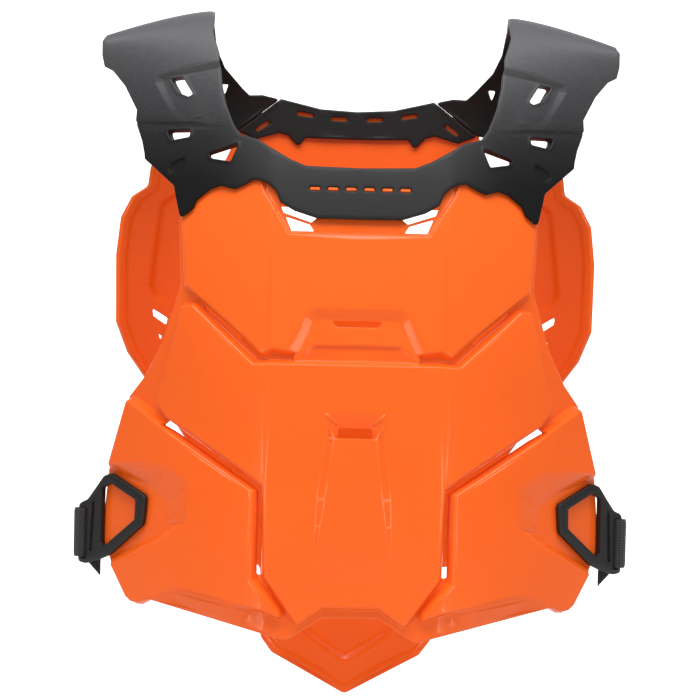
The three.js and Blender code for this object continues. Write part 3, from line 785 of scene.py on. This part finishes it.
def glossy_shell_material(colour):
    make = MaterialMaker("glossy_orange_shell")
    where = make.place()
    cloud = make.noise(where, 9.0, 2.0)
    base = make.ramp(cloud, [(0.35, tinted(colour, 0.96)), (0.65, colour)])
    make.link(base, make.shader.inputs["Base Color"])
    wear = make.noise(where, 60.0, 5.0, 0.6)
    make.link(make.fade(wear, 0.0, 1.0, 0.13, 0.22), make.shader.inputs["Roughness"])
    peel = make.noise(where, 420.0, 2.0)
    make.link(make.bump(peel, 0.06, 0.0004), make.shader.inputs["Normal"])
    make.shader.inputs["Specular IOR Level"].default_value = 0.32
    return make.material


# Black trim: grain streaks and roughness noise, with painted top light in its colour and specular level.
def grained_trim_material(colour):
    make = MaterialMaker("grained_black_trim")
    where = make.place()
    cloud = make.noise(where, 14.0, 3.0)
    stretched = make.add("ShaderNodeMapping")
    stretched.inputs["Scale"].default_value = (0.12, 1.0, 1.0)
    make.link(where, stretched.inputs["Vector"])
    streaks = make.noise(stretched.outputs["Vector"], 420.0, 4.0, 0.7)
    axes = make.axes(where)
    # Painted top light: the colour goes from near black low down to light grey at the top of the pads, on
    # their front part only, standing in for light falling from above.
    high = make.fade(axes["Z"], -0.125, 0.02)
    forward = make.fade(axes["Y"], 0.01, 0.06, 1.0, 0.0, "SMOOTHSTEP")
    painted_top_light = make.calculate("MULTIPLY", high, forward)
    grain_and_top_light = make.calculate("MULTIPLY_ADD", streaks, 0.22, painted_top_light)
    stops = [(0.1, 0.7), (0.34, 1.4), (0.6, 4.4), (0.9, 9.5)]
    base = make.ramp(grain_and_top_light, [(at, tinted(colour, factor)) for at, factor in stops])
    make.link(base, make.shader.inputs["Base Color"])
    grain = make.noise(where, 1500.0, 2.0, 0.6)
    make.link(make.fade(cloud, 0.0, 1.0, 0.46, 0.56), make.shader.inputs["Roughness"])
    make.link(make.bump(grain, 0.25, 0.0003), make.shader.inputs["Normal"])
    # Specular level: a painted sheen from the same top-light mask, lowered on the sides as painted shade of
    # the pads' sides, and raised low down where the hook rings are.
    across = make.calculate("ABSOLUTE", axes["X"])
    shade = make.fade(across, 0.06, 0.12, 0.34, 0.12, "SMOOTHSTEP")
    low = make.fade(axes["Z"], -0.3, -0.2, 0.3, 0.0)
    sheen = make.calculate("MULTIPLY_ADD", painted_top_light, 0.42, shade)
    total = make.calculate("ADD", sheen, low)
    make.link(total, make.shader.inputs["Specular IOR Level"])
    return make.material


def woven_webbing_material(colour):
    make = MaterialMaker("woven_black_webbing")
    where = make.place("UV")
    waves = []
    for direction, scale in (("X", 110.0), ("Y", 160.0)):
        wave = make.add("ShaderNodeTexWave", wave_type="BANDS", bands_direction=direction)
        wave.inputs["Scale"].default_value = scale
        wave.inputs["Distortion"].default_value = 0.4
        make.link(where, wave.inputs["Vector"])
        waves.append(wave.outputs["Fac"])
    both = make.calculate("MULTIPLY", *waves)
    base = make.ramp(both, [(0.0, tinted(colour, 0.5)), (0.8, tinted(colour, 1.8))])
    make.link(base, make.shader.inputs["Base Color"])
    make.link(make.fade(both, 0.0, 1.0, 0.85, 0.6), make.shader.inputs["Roughness"])
    make.link(make.bump(both, 0.6, 0.0005), make.shader.inputs["Normal"])
    make.shader.inputs["Sheen Weight"].default_value = 0.2
    return make.material


def pale_backdrop_material(colour):
    """Darker towards the camera, with a glow well behind the guard."""
    make = MaterialMaker("pale_backdrop")
    make.shader.inputs["Roughness"].default_value = 0.9
    where = make.place()
    paper = make.noise(where, 3.0, 2.0)
    depth = make.axes(where)["Y"]
    tone = make.fade(depth, -1.4, 0.6, 0.0, 0.9, "SMOOTHSTEP")
    shade = make.calculate("MULTIPLY_ADD", paper, 0.1, tone)
    base = make.ramp(shade, [(0.05, tinted(colour, 0.42)), (0.95, colour)])
    make.link(base, make.shader.inputs["Base Color"])
    glow = make.fade(depth, 0.7, 1.6, 0.0, 0.8, "SMOOTHSTEP")
    make.shader.inputs["Emission Color"].default_value = (1, 1, 1, 1)
    make.link(glow, make.shader.inputs["Emission Strength"])
    return make.material


def material_named(name, make, colour):
    return bpy.data.materials.get(name) or make(colour)


def dash(length, height):
    half, tip = length / 2, height / 2
    return [
        (-half, 0), (-half + tip * 0.3, -tip * 0.7), (-half + tip, -tip), (half - tip, -tip),
        (half - tip * 0.3, -tip * 0.7), (half, 0), (half - tip * 0.3, tip * 0.7),
        (half - tip, tip), (-half + tip, tip), (-half + tip * 0.3, tip * 0.7),
    ]


def moved(points, u, v, angle=0.0):
    c, s = math.cos(angle), math.sin(angle)
    return [(c * a - s * b + u, s * a + c * b + v) for a, b in points]


def collar_dashes():
    count, pitch = COLLAR_DASH["count"], COLLAR_DASH["pitch"]
    shape = dash(COLLAR_DASH["length"], COLLAR_DASH["height"])
    return [moved(shape, (i - (count - 1) / 2) * pitch, COLLAR_DASH["at"]) for i in range(count)]


def pit_sides(u, v, top, floor, inward):
    """Whether a point lies in a pit, and how far up its side: 0 on the floor, 1 at the top."""
    to_top = edge_distance(u, v, top) - inward
    to_floor = edge_distance(u, v, floor) - inward
    return to_top < 0, np.clip(to_floor / np.maximum(1e-6, to_floor - to_top), 0, 1)


def front_heights(sizes):
    """The outlines, wells and height functions of the front shell."""
    rise, wing, bevel = sizes.plate_rise, sizes.wing_rise, sizes.bevel
    chest = rounded(CHEST_PLATE + mirror(CHEST_PLATE)[1:], 2.5)
    lower = rounded(whole(LOWER_PLATE), 2.2)
    ledge = rounded(whole(NOTCH_LEDGE), 1.5)
    tongue_top, tongue_floor = whole(TONGUE_TOP), whole(TONGUE_FLOOR)
    notch = whole(CHEST_NOTCH)
    wings = [rounded(WING_PLATE, 2.2), rounded(mirror(WING_PLATE), 2.2)]
    hood_top, hood_foot = whole(HOOD_TOP), whole(HOOD_FOOT)
    ramp_top, ramp_floor = whole(RAMP_TOP), whole(RAMP_FLOOR)
    ridge = ribbon_around(RAMP_RIDGE, RIDGE_WIDTH)
    ridges = [ridge, mirror(ridge)]
    pockets = [(POCKET_TOP, POCKET_FLOOR), (mirror(POCKET_TOP), mirror(POCKET_FLOOR))]
    outline = whole(FRONT_OUTLINE)

    def heights(u, v, inward=0.0, drop=0.0):
        base = SHELF_RISE * smooth(-182, -179, v) * smooth(80, 70, np.abs(u))
        height = np.maximum(base, raised(edge_distance(u, v, chest) + inward, rise, bevel))
        wells = sunk(edge_distance(u, v, notch) - inward, rise, NOTCH_LEVEL, NOTCH_WALL, 0.5, 0.4)
        height = np.where(v > -267, np.minimum(height, wells), height)
        step = raised(edge_distance(u, v, ledge) + inward, NOTCH_LEVEL, LEDGE_BEVEL, 0.6, 0.5)
        height = np.maximum(height, step)
        within, share = pit_sides(u, v, tongue_top, tongue_floor, inward)
        height = np.where(within, np.minimum(height, NOTCH_LEVEL * share), height)
        plate = raised(edge_distance(u, v, lower) + inward, rise, bevel)
        within, share = pit_sides(u, v, ramp_top, ramp_floor, inward)
        plate = np.minimum(plate, np.where(within, rise - RAMP_DEPTH * (1 - share), ABOVE_ALL))
        for ridge in ridges:
            plate = plate + RIDGE_RISE * (1 - smooth(-RIDGE_WIDTH / 2, 0, edge_distance(u, v, ridge)))
        lift = np.interp(v, [p[0] for p in HOOD_LINE], [p[1] for p in HOOD_LINE]) * sizes.hood_rise
        inside = edge_distance(u, v, hood_top) + inward
        outside = edge_distance(u, v, hood_foot) + inward
        flank = np.clip(-outside / np.maximum(1e-6, inside - outside), 0, 1)
        hood = np.where(outside < 0, rise + lift * np.where(inside < 0, 1, flank), 0)
        plate = np.where(v < -327.1, np.maximum(plate, hood), plate)
        height = np.maximum(height, plate)
        side = np.abs(u)
        low_edge = smooth(-436, -441, v) * smooth(72, 88, side) * smooth(152, 142, side)
        for sheet in wings:
            wide = bevel + (LOW_EDGE_BEVEL - bevel) * low_edge
            height = np.maximum(height, raised(edge_distance(u, v, sheet) + inward, wing, wide))
        for top, floor in pockets:
            within, share = pit_sides(u, v, top, floor, inward)
            well = np.where(within, POCKET_LEVEL + (wing - POCKET_LEVEL) * share, ABOVE_ALL)
            height = np.minimum(height, well)
        return height - drop

    loops = plate_rings(chest, bevel) + plate_rings(lower, bevel)
    loops += plate_rings(ledge, LEDGE_BEVEL, 0.6, 0.5) + well_rings(notch, NOTCH_WALL, 0.5, 0.4)
    for sheet in wings:
        loops += plate_rings(sheet, bevel)
    loops += [hood_top, hood_foot, ramp_top, ramp_floor, tongue_top, tongue_floor]
    loops += [shape for pair in pockets for shape in pair]
    loops += [grow(ridge, -step) for ridge in ridges for step in (0, 0.5, 1.0, 1.5)]
    lines = [
        [tuple(a), tuple(b)]
        for top, floor in [
            *pockets, (ramp_top, ramp_floor), (hood_foot, hood_top), (tongue_top, tongue_floor)
        ]
        for a, b in zip(top, floor)
        if abs(a[0]) < 200 and math.hypot(a[0] - b[0], a[1] - b[1]) > 0.5
    ]
    lines += [[(s * COLUMN_HALF, -126), (s * COLUMN_HALF, -470)] for s in (-1, 1)]
    return outline, loops, lines, heights


def side_slot():
    """The slot between a wing and the lower plate, parallel to both of their edges."""
    wing = grow(WING_PLATE, 1.0)
    plate = grow(whole(LOWER_PLATE), 1.9)
    corner, turn = wing[2], wing[3]
    near = [(p[0], p[1]) for p in plate if p[0] > 60]
    above = min(near, key=lambda p: math.hypot(p[0] - 66, p[1] + 363.5))
    end = min(near, key=lambda p: math.hypot(p[0] - 138.5, p[1] + 315.5))
    inner = above[0] + 0.2
    return [(143.4, -320.6), corner, turn, (turn[0], -430.6), (inner - 0.6, -430.6), above, end]


class ROOST_OT_front_shell(bpy.types.Operator):
    """Make the front shell: chest plate, lower plate with its scoop, wings and rim"""

    bl_idname = "roost.front_shell"
    bl_label = "Front Shell"

    def execute(self, context):
        sizes = context.scene.roost_shell
        outline, loops, lines, heights = front_heights(sizes)
        vent = ribbon_around(UPPER_VENT_PATH, VENT_WIDTH)
        holes = [rounded(shape, 1.2, 2) for shape in (side_slot(), vent)]
        holes += [rounded(shape, 0.7, 2) for shape in (WINDOW, WINDOW_STRIP)]
        holes += [mirror(hole) for hole in holes]
        holes += [rounded(whole(CHEST_SLOT), 0.8, 2), rounded(whole(SCOOP_SLOT), 1.0, 2)]
        studs = [rounded(grow(shape, -0.35), 0.6, 2) for shape in collar_dashes()]
        loops += studs + [grow(stud, 0.12) for stud in studs]

        def tops(u, v):
            height = heights(u, v)
            for stud in studs:
                height = np.where(edge_distance(u, v, stud) < 0.02, STUD_HEIGHT, height)
            return height

        piece = moulding(
            "front_moulding",
            rounded(outline, 3.0),
            holes,
            loops,
            lines,
            tops,
            lambda u, v: heights(u, v, SIDE_WALL, sizes.wall),
            bend_front,
            pitch=4.0,
        )
        material = material_named("glossy_orange_shell", glossy_shell_material, sizes.colour)
        dress(piece, material, "front_shell")
        return {"FINISHED"}


class ROOST_OT_back_shell(bpy.types.Operator):
    """Make the back shell: wide lobes, raised panel, vents and pointed tail"""

    bl_idname = "roost.back_shell"
    bl_label = "Back Shell"

    def execute(self, context):
        sizes = context.scene.roost_shell
        panel = rounded(whole(BACK_PANEL), 4.0)
        outline = whole(BACK_OUTLINE)

        def heights(u, v, inward=0.0, drop=0.0):
            panel_height = raised(edge_distance(u, v, panel) + inward, sizes.panel_rise, *BACK_PANEL_SIDE)
            bead = edge_distance(u, v, outline)
            lip = 0.9 * smooth(-7.0, -4.6, bead)
            return panel_height - drop + (-lip if drop else lip)

        holes = [rounded(shape, 1.5, 2) for shape in (BACK_VENT, BACK_WINDOW, BACK_STRAP_SLOT)]
        holes.append(rounded(BACK_SMALL_VENT, 0.8, 2))
        holes += [mirror(hole) for hole in holes]
        loops = plate_rings(panel, *BACK_PANEL_SIDE) + [grow(outline, -step) for step in (7.0, 5.8, 4.6)]
        piece = moulding(
            "back_moulding",
            rounded(outline, 6.0, 4),
            holes,
            loops,
            [],
            heights,
            lambda u, v: heights(u, v, SIDE_WALL, sizes.wall),
            bend_back,
        )
        material = material_named("glossy_orange_shell", glossy_shell_material, sizes.colour)
        dress(piece, material, "back_shell")
        return {"FINISHED"}


class ROOST_OT_collar_yoke(bpy.types.Operator):
    """Make the black yoke: the front collar and both arched shoulder pads"""

    bl_idname = "roost.collar_yoke"
    bl_label = "Collar Yoke"

    def execute(self, context):
        sizes = context.scene.roost_trim
        outline = rounded(whole(YOKE_RIGHT), 2.0)
        holes = collar_dashes()
        vents = [rounded(shape, 1.4, 2) for shape in PAD_VENTS]
        vents += [mirror(vent) for vent in vents]
        lipped = vents[:3] + vents[4:7]
        recesses = [rounded(PAD_RECESS, 3.0), rounded(mirror(PAD_RECESS), 3.0)]
        ledges = [PAD_LEDGE, mirror(PAD_LEDGE)]
        dimples = [rounded(PAD_DIMPLE, 1.2, 2), rounded(mirror(PAD_DIMPLE), 1.2, 2)]

        def relief(u, v):
            """How far both faces of the pads lie above or below the plain arch."""
            height = np.zeros(len(u))
            depth = RECESS_DEPTH * np.clip((v - RECESS_FOOT) / RECESS_FADE, 0, 1)
            side = np.abs(u)
            for recess in recesses:
                well = sunk(edge_distance(u, v, recess), 0.0, -1.0, 4.2, 0.7, 0.9)
                height += well * depth
            line = np.interp(side, *STEP_LINE)
            above = v - line
            inner = smooth(110, 124, side)
            height += STEP_RISE * inner * np.clip(1 - above / STEP_FADE, 0, 1) * (above > 0)
            for ledge in ledges:
                inside = np.clip(-edge_distance(u, v, ledge) / LEDGE_SIDE, 0, 1)
                height += inside * (above <= 0) * STEP_RISE * inner * np.clip(1 + above / 1.4, 0, 1)
            return height

        def tops(u, v):
            height = relief(u, v) + sizes.thick
            for hole in dimples:
                height += sunk(edge_distance(u, v, hole), 0.0, -2.2, 0.9, 0.4, 0.3)
            for vent in lipped:
                gap = edge_distance(u, v, vent)
                height += 0.7 * (1 - smooth(0.9, 2.2, gap))
            return height

        def unders(u, v):
            height = relief(u, v)
            for hole in dimples:
                height += sunk(edge_distance(u, v, hole) - 1.2, 0.0, -1.0, 0.9, 0.4, 0.3)
            for vent in lipped:
                gap = edge_distance(u, v, vent)
                deep = 4.2 * smooth(-123, -112, v)
                height -= deep * (1 - smooth(0.9, 2.4, gap))
            return height

        loops = [ring for recess in recesses for ring in well_rings(recess, 4.2, 0.7, 0.9)]
        loops += [ring for hole in dimples for ring in well_rings(hole, 0.9, 0.4, 0.3)]
        loops += [grow(vent, step) for vent in vents for step in (0.9, 1.5, 2.2)]
        lines = [
            [(s * 110, -95 + d), (s * 172, -91.5 + d)]
            for s in (-1, 1)
            for d in (-2.4, -1.4, -0.7, 0, 0.5, 1.2)
        ]
        piece = moulding(
            "yoke_moulding",
            outline,
            holes + vents,
            loops,
            lines,
            tops,
            unders,
            bend_yoke,
            pitch=4.0,
            rim=1.2,
        )
        material = material_named("grained_black_trim", grained_trim_material, sizes.colour)
        dress(piece, material, "collar_yoke")
        return {"FINISHED"}


class ROOST_OT_back_collar(bpy.types.Operator):
    """Make the black back collar with its row of dash slots"""

    bl_idname = "roost.back_collar"
    bl_label = "Back Collar"

    def execute(self, context):
        sizes = context.scene.roost_trim
        slots = [moved(dash(*BACK_DASH), u, v, angle) for u, v, angle in BACK_DASHES]
        slots += [mirror(slot) for slot in slots]
        piece = moulding(
            "back_collar_moulding",
            rounded(whole(BACK_COLLAR), 1.5),
            slots,
            [],
            [],
            lambda u, v: np.full(len(u), sizes.thick),
            lambda u, v: np.zeros(len(u)),
            bend_back_layer,
            pitch=4.0,
            rim=1.1,
        )
        material = material_named("grained_black_trim", grained_trim_material, sizes.colour)
        dress(piece, material, "back_collar")
        return {"FINISHED"}


def ring_plane(side):
    """Places points of the ring's own plane, which lies on the straight part of the flank."""
    u0, v0 = (np.array([float(value)]) for value in (FLANK_END, RING_HEIGHT))
    centre = front_sheet(u0, v0)[0]
    along = (front_sheet(u0 + 1, v0) - front_sheet(u0, v0))[0]
    up = (front_sheet(u0, v0 + 1) - front_sheet(u0, v0 - 1))[0] / 2
    out = np.cross(along, up)
    out /= np.linalg.norm(out)

    def place(u, v, w):
        u, v, w = (np.asarray(value, float) for value in (u, v, w))
        points = centre + (u - u0)[:, None] * along + (v - v0)[:, None] * up + w[:, None] * out
        points[:, 0] *= side
        return points

    return place


class ROOST_OT_hook_rings(bpy.types.Operator):
    """Make both moulded hook rings with their D openings and strap slots"""

    bl_idname = "roost.hook_rings"
    bl_label = "Hook Rings"

    def execute(self, context):
        sizes = context.scene.roost_trim
        outline = rounded(RING_OUTLINE, 5.0)
        holes = [rounded(RING_OPENING, 2.5), rounded(RING_SLOT, 1.0, 2), rounded(RING_REEVE, 1.0, 2)]
        top = RING_SEAT + sizes.ring_thick

        def tops(u, v):
            edge = edge_distance(u, v, outline)
            return top - 0.9 * smooth(-3.4, -0.6, edge)

        for side, name in ((1, "right_hook_ring"), (-1, "left_hook_ring")):
            piece = moulding(
                name.replace("ring", "moulding"),
                outline,
                holes,
                [grow(outline, step) for step in (-2, -3.4)],
                [],
                tops,
                lambda u, v: np.full(len(u), RING_SEAT),
                ring_plane(side),
                pitch=2.5,
                fine=1.2,
                rim=1.1,
            )
            if side < 0:
                piece.data.flip_normals()
            material = material_named("grained_black_trim", grained_trim_material, sizes.colour)
            dress(piece, material, name)
        return {"FINISHED"}


def strap_path(v, thick):
    """The strap's middle line at one height, seen from above, front end first."""
    place = ring_plane(1)
    face = RING_SEAT + RING_THICK
    mid = RING_SEAT + RING_THICK / 2
    reeve = (RING_REEVE[0][0] + RING_REEVE[1][0]) / 2
    clear = thick / 2 + STRAP_GAP
    front = [(reeve - inside, RING_SEAT - below) for inside, below in TAIL_TURN]
    front += [
        (reeve, mid), (reeve, face + STRAP_GAP), (reeve + clear, face + clear),
        (RING_EDGE - STRAP_GAP, face + clear), (RING_EDGE + clear, face + STRAP_GAP),
        (RING_EDGE + clear, mid), (RING_EDGE + 2 * clear, RING_SEAT - thick),
    ]
    path = [place([u], [v], [w])[0][:2] for u, w in front]
    path += [np.array([across * RING_EDGE, behind * BACK_REACH]) for across, behind in WAIST_ROUTE]
    near, far = BACK_SLOT_SIDES
    back = [
        (far + STRAP_LEAD, clear + STRAP_GAP), (far + clear, clear), (far - clear, STRAP_GAP),
        (near + clear, -WALL - STRAP_GAP), (near - clear, -WALL - clear),
        (near - STRAP_ANCHOR, -WALL - clear),
    ]
    for u, w in back:
        path.append(bend_back(np.array([-float(u)]), np.array([float(v)]), np.array([w]))[0][:2])
    return np.array(path)


def eased(path, rounds=2):
    """Cuts the corners of an open path so that it runs smoothly."""
    for _ in range(rounds):
        a, b = path[:-1], path[1:]
        between = np.stack([a * 0.75 + b * 0.25, a * 0.25 + b * 0.75], axis=1).reshape(-1, 2)
        path = np.concatenate([path[:1], between[1:-1], path[-1:]])
    return path


class ROOST_OT_side_straps(bpy.types.Operator):
    """Make both woven side straps, each with its pointed free tail"""

    bl_idname = "roost.side_straps"
    bl_label = "Side Straps"

    def execute(self, context):
        sizes = context.scene.roost_webbing
        material = material_named("woven_black_webbing", woven_webbing_material, sizes.colour)
        levels = 13
        across = np.linspace(0, 1, levels)
        high = STRAP_MID + sizes.width / 2
        low = STRAP_MID - sizes.width / 2
        ends = [eased(strap_path(v, sizes.thick)) for v in (low, high)]
        steps = len(ends[0])
        length = np.concatenate([[0], np.cumsum(np.linalg.norm(np.diff(ends[1], axis=0), axis=1))])
        drop = STRAP_TAIL_DROP * np.clip(1 - length / 13.5, 0, 1)
        half = sizes.thick / 2
        for side, name in ((1, "right_strap"), (-1, "left_strap")):
            points, uv, faces = [], [], []
            for face_sign in (1, -1):
                for k, t in enumerate(across):
                    path = ends[0] * (1 - t) + ends[1] * t
                    slope = np.gradient(path, axis=0)
                    slope /= np.linalg.norm(slope, axis=1, keepdims=True)
                    out = np.stack([slope[:, 1], -slope[:, 0]], axis=1)
                    edge = min(t, 1 - t) * sizes.width
                    thin = 1 - 0.55 * max(0, 1 - edge / 1.2) ** 2
                    at = path + out * half * thin * face_sign
                    base = low - drop
                    z = base * (1 - t) + high * t
                    points.append(np.stack([side * at[:, 0], at[:, 1], z], axis=1))
                    uv.append(np.stack([length, z], axis=1) * 0.001)
            points = np.concatenate(points)
            uv = np.concatenate(uv)

            def spot(layer, level, step):
                return (layer * levels + level) * steps + step

            for i in range(steps - 1):
                for k in range(levels - 1):
                    for layer, turn in ((0, 1), (1, -1)):
                        near = (spot(layer, k, i), spot(layer, k, i + 1))
                        far = (spot(layer, k + 1, i + 1), spot(layer, k + 1, i))
                        faces.append((near + far)[::turn])
                for k, turn in ((0, 1), (levels - 1, -1)):
                    quad = (spot(0, k, i), spot(1, k, i), spot(1, k, i + 1), spot(0, k, i + 1))
                    faces.append(quad[::turn])
            for i, turn in ((0, -1), (steps - 1, 1)):
                for k in range(levels - 1):
                    quad = (spot(0, k, i), spot(1, k, i), spot(1, k + 1, i), spot(0, k + 1, i))
                    faces.append(quad[::turn])
            piece = make_mesh(name.replace("strap", "webbing"), points, faces, uv)
            if side < 0:
                piece.data.flip_normals()
            dress(piece, material, name)
        return {"FINISHED"}


def softbox(name, at, aim, size, power, colour=(1, 1, 1)):
    lamp = bpy.data.lights.new(name, "AREA")
    lamp.shape = "RECTANGLE"
    lamp.size, lamp.size_y = size
    lamp.energy = power
    lamp.color = colour
    item = bpy.data.objects.new(name, lamp)
    item.location = at
    item.rotation_euler = (Vector(aim) - Vector(at)).to_track_quat("-Z", "Y").to_euler()
    bpy.context.scene.collection.objects.link(item)
    return item


class ROOST_OT_studio(bpy.types.Operator):
    """Make the floor with its backdrop, the soft lights and the camera"""

    bl_idname = "roost.studio"
    bl_label = "Studio"

    def execute(self, context):
        scene = context.scene
        settings = scene.roost_studio
        floor = settings.floor_drop
        profile = [(-SWEEP_REACH, 0.0), (SWEEP_FROM, 0.0)]
        profile += [
            (SWEEP_FROM + SWEEP_RADIUS * math.sin(a), SWEEP_RADIUS * (1 - math.cos(a)))
            for a in np.linspace(0, math.pi / 2, 17)[1:]
        ]
        profile.append((SWEEP_FROM + SWEEP_RADIUS, SWEEP_REACH))
        verts = [(x, y, floor + z) for y, z in profile for x in (-SWEEP_REACH, SWEEP_REACH)]
        faces = [(2 * i, 2 * i + 1, 2 * i + 3, 2 * i + 2) for i in range(len(profile) - 1)]
        mesh = bpy.data.meshes.new("studio_sweep")
        mesh.from_pydata(verts, [], faces)
        mesh.shade_smooth()
        sweep = bpy.data.objects.new("studio_sweep", mesh)
        scene.collection.objects.link(sweep)
        mesh.materials.append(pale_backdrop_material(settings.backdrop))

        world = bpy.data.worlds.new("soft_room")
        world.use_nodes = True
        room = world.node_tree.nodes["Background"].inputs
        room["Color"].default_value = (1, 1, 1, 1)
        room["Strength"].default_value = ROOM_LIGHT
        scene.world = world
        softbox("top_softbox", (0, -1.35, 1.8), LIT_POINT, (3.0, 1.4), 79)
        for side, name in ((-1, "left"), (1, "right")):
            for kind, lamp in SIDE_LAMPS.items():
                across, depth, height = lamp["at"]
                at = (side * across, depth, height)
                size = (lamp["size"], lamp["size"])
                softbox(f"{name}_{kind}", at, LIT_POINT, size, lamp["power"], WARM)

        camera_data = bpy.data.cameras.new("camera")
        camera_data.lens = settings.lens
        camera_data.sensor_width = 36
        camera_data.clip_end = 50
        camera = bpy.data.objects.new("camera", camera_data)
        look = Matrix.Rotation(math.pi / 2, 4, "X") @ Matrix.Rotation(settings.roll, 4, "Z")
        spot = Matrix.Translation((settings.sideways, -settings.distance, settings.eye_height))
        camera.matrix_world = Matrix.Rotation(settings.turn, 4, "Z") @ spot @ look
        scene.collection.objects.link(camera)
        scene.camera = camera
        scene.view_settings.view_transform = "Standard"
        scene.view_settings.look = "None"
        return {"FINISHED"}


class ROOST_PT_panel(bpy.types.Panel):
    """Lists the guard's pieces and sizes"""

    bl_label = "Roost Deflector"
    bl_idname = "ROOST_PT_panel"
    bl_space_type = "VIEW_3D"
    bl_region_type = "UI"
    bl_category = "Roost Deflector"

    def draw(self, context):
        layout = self.layout
        for operator in PIECE_OPERATORS:
            layout.operator(operator.bl_idname)
        for group in SETTING_GROUPS:
            settings = getattr(context.scene, group)
            box = layout.box()
            for name in settings.bl_rna.properties.keys():
                if name not in {"rna_type", "name"}:
                    box.prop(settings, name)


PIECE_OPERATORS = (
    ROOST_OT_studio,
    ROOST_OT_front_shell,
    ROOST_OT_back_shell,
    ROOST_OT_collar_yoke,
    ROOST_OT_back_collar,
    ROOST_OT_hook_rings,
    ROOST_OT_side_straps,
)
SETTING_GROUPS = {
    "roost_shell": ShellSizes,
    "roost_trim": TrimSizes,
    "roost_webbing": WebbingSizes,
    "roost_studio": StudioSettings,
}


def register():
    for group in SETTING_GROUPS.values():
        bpy.utils.register_class(group)
    for name, group in SETTING_GROUPS.items():
        setattr(bpy.types.Scene, name, bpy.props.PointerProperty(type=group))
    for operator in PIECE_OPERATORS:
        bpy.utils.register_class(operator)
    bpy.utils.register_class(ROOST_PT_panel)


def unregister():
    bpy.utils.unregister_class(ROOST_PT_panel)
    for operator in reversed(PIECE_OPERATORS):
        bpy.utils.unregister_class(operator)
    for name in SETTING_GROUPS:
        delattr(bpy.types.Scene, name)
    for group in reversed(list(SETTING_GROUPS.values())):
        bpy.utils.unregister_class(group)


def main():
    register()
    bpy.ops.roost.studio()
    bpy.ops.roost.front_shell()
    bpy.ops.roost.back_shell()
    bpy.ops.roost.collar_yoke()
    bpy.ops.roost.back_collar()
    bpy.ops.roost.hook_rings()
    bpy.ops.roost.side_straps()


if __name__ == "__main__":
    main()
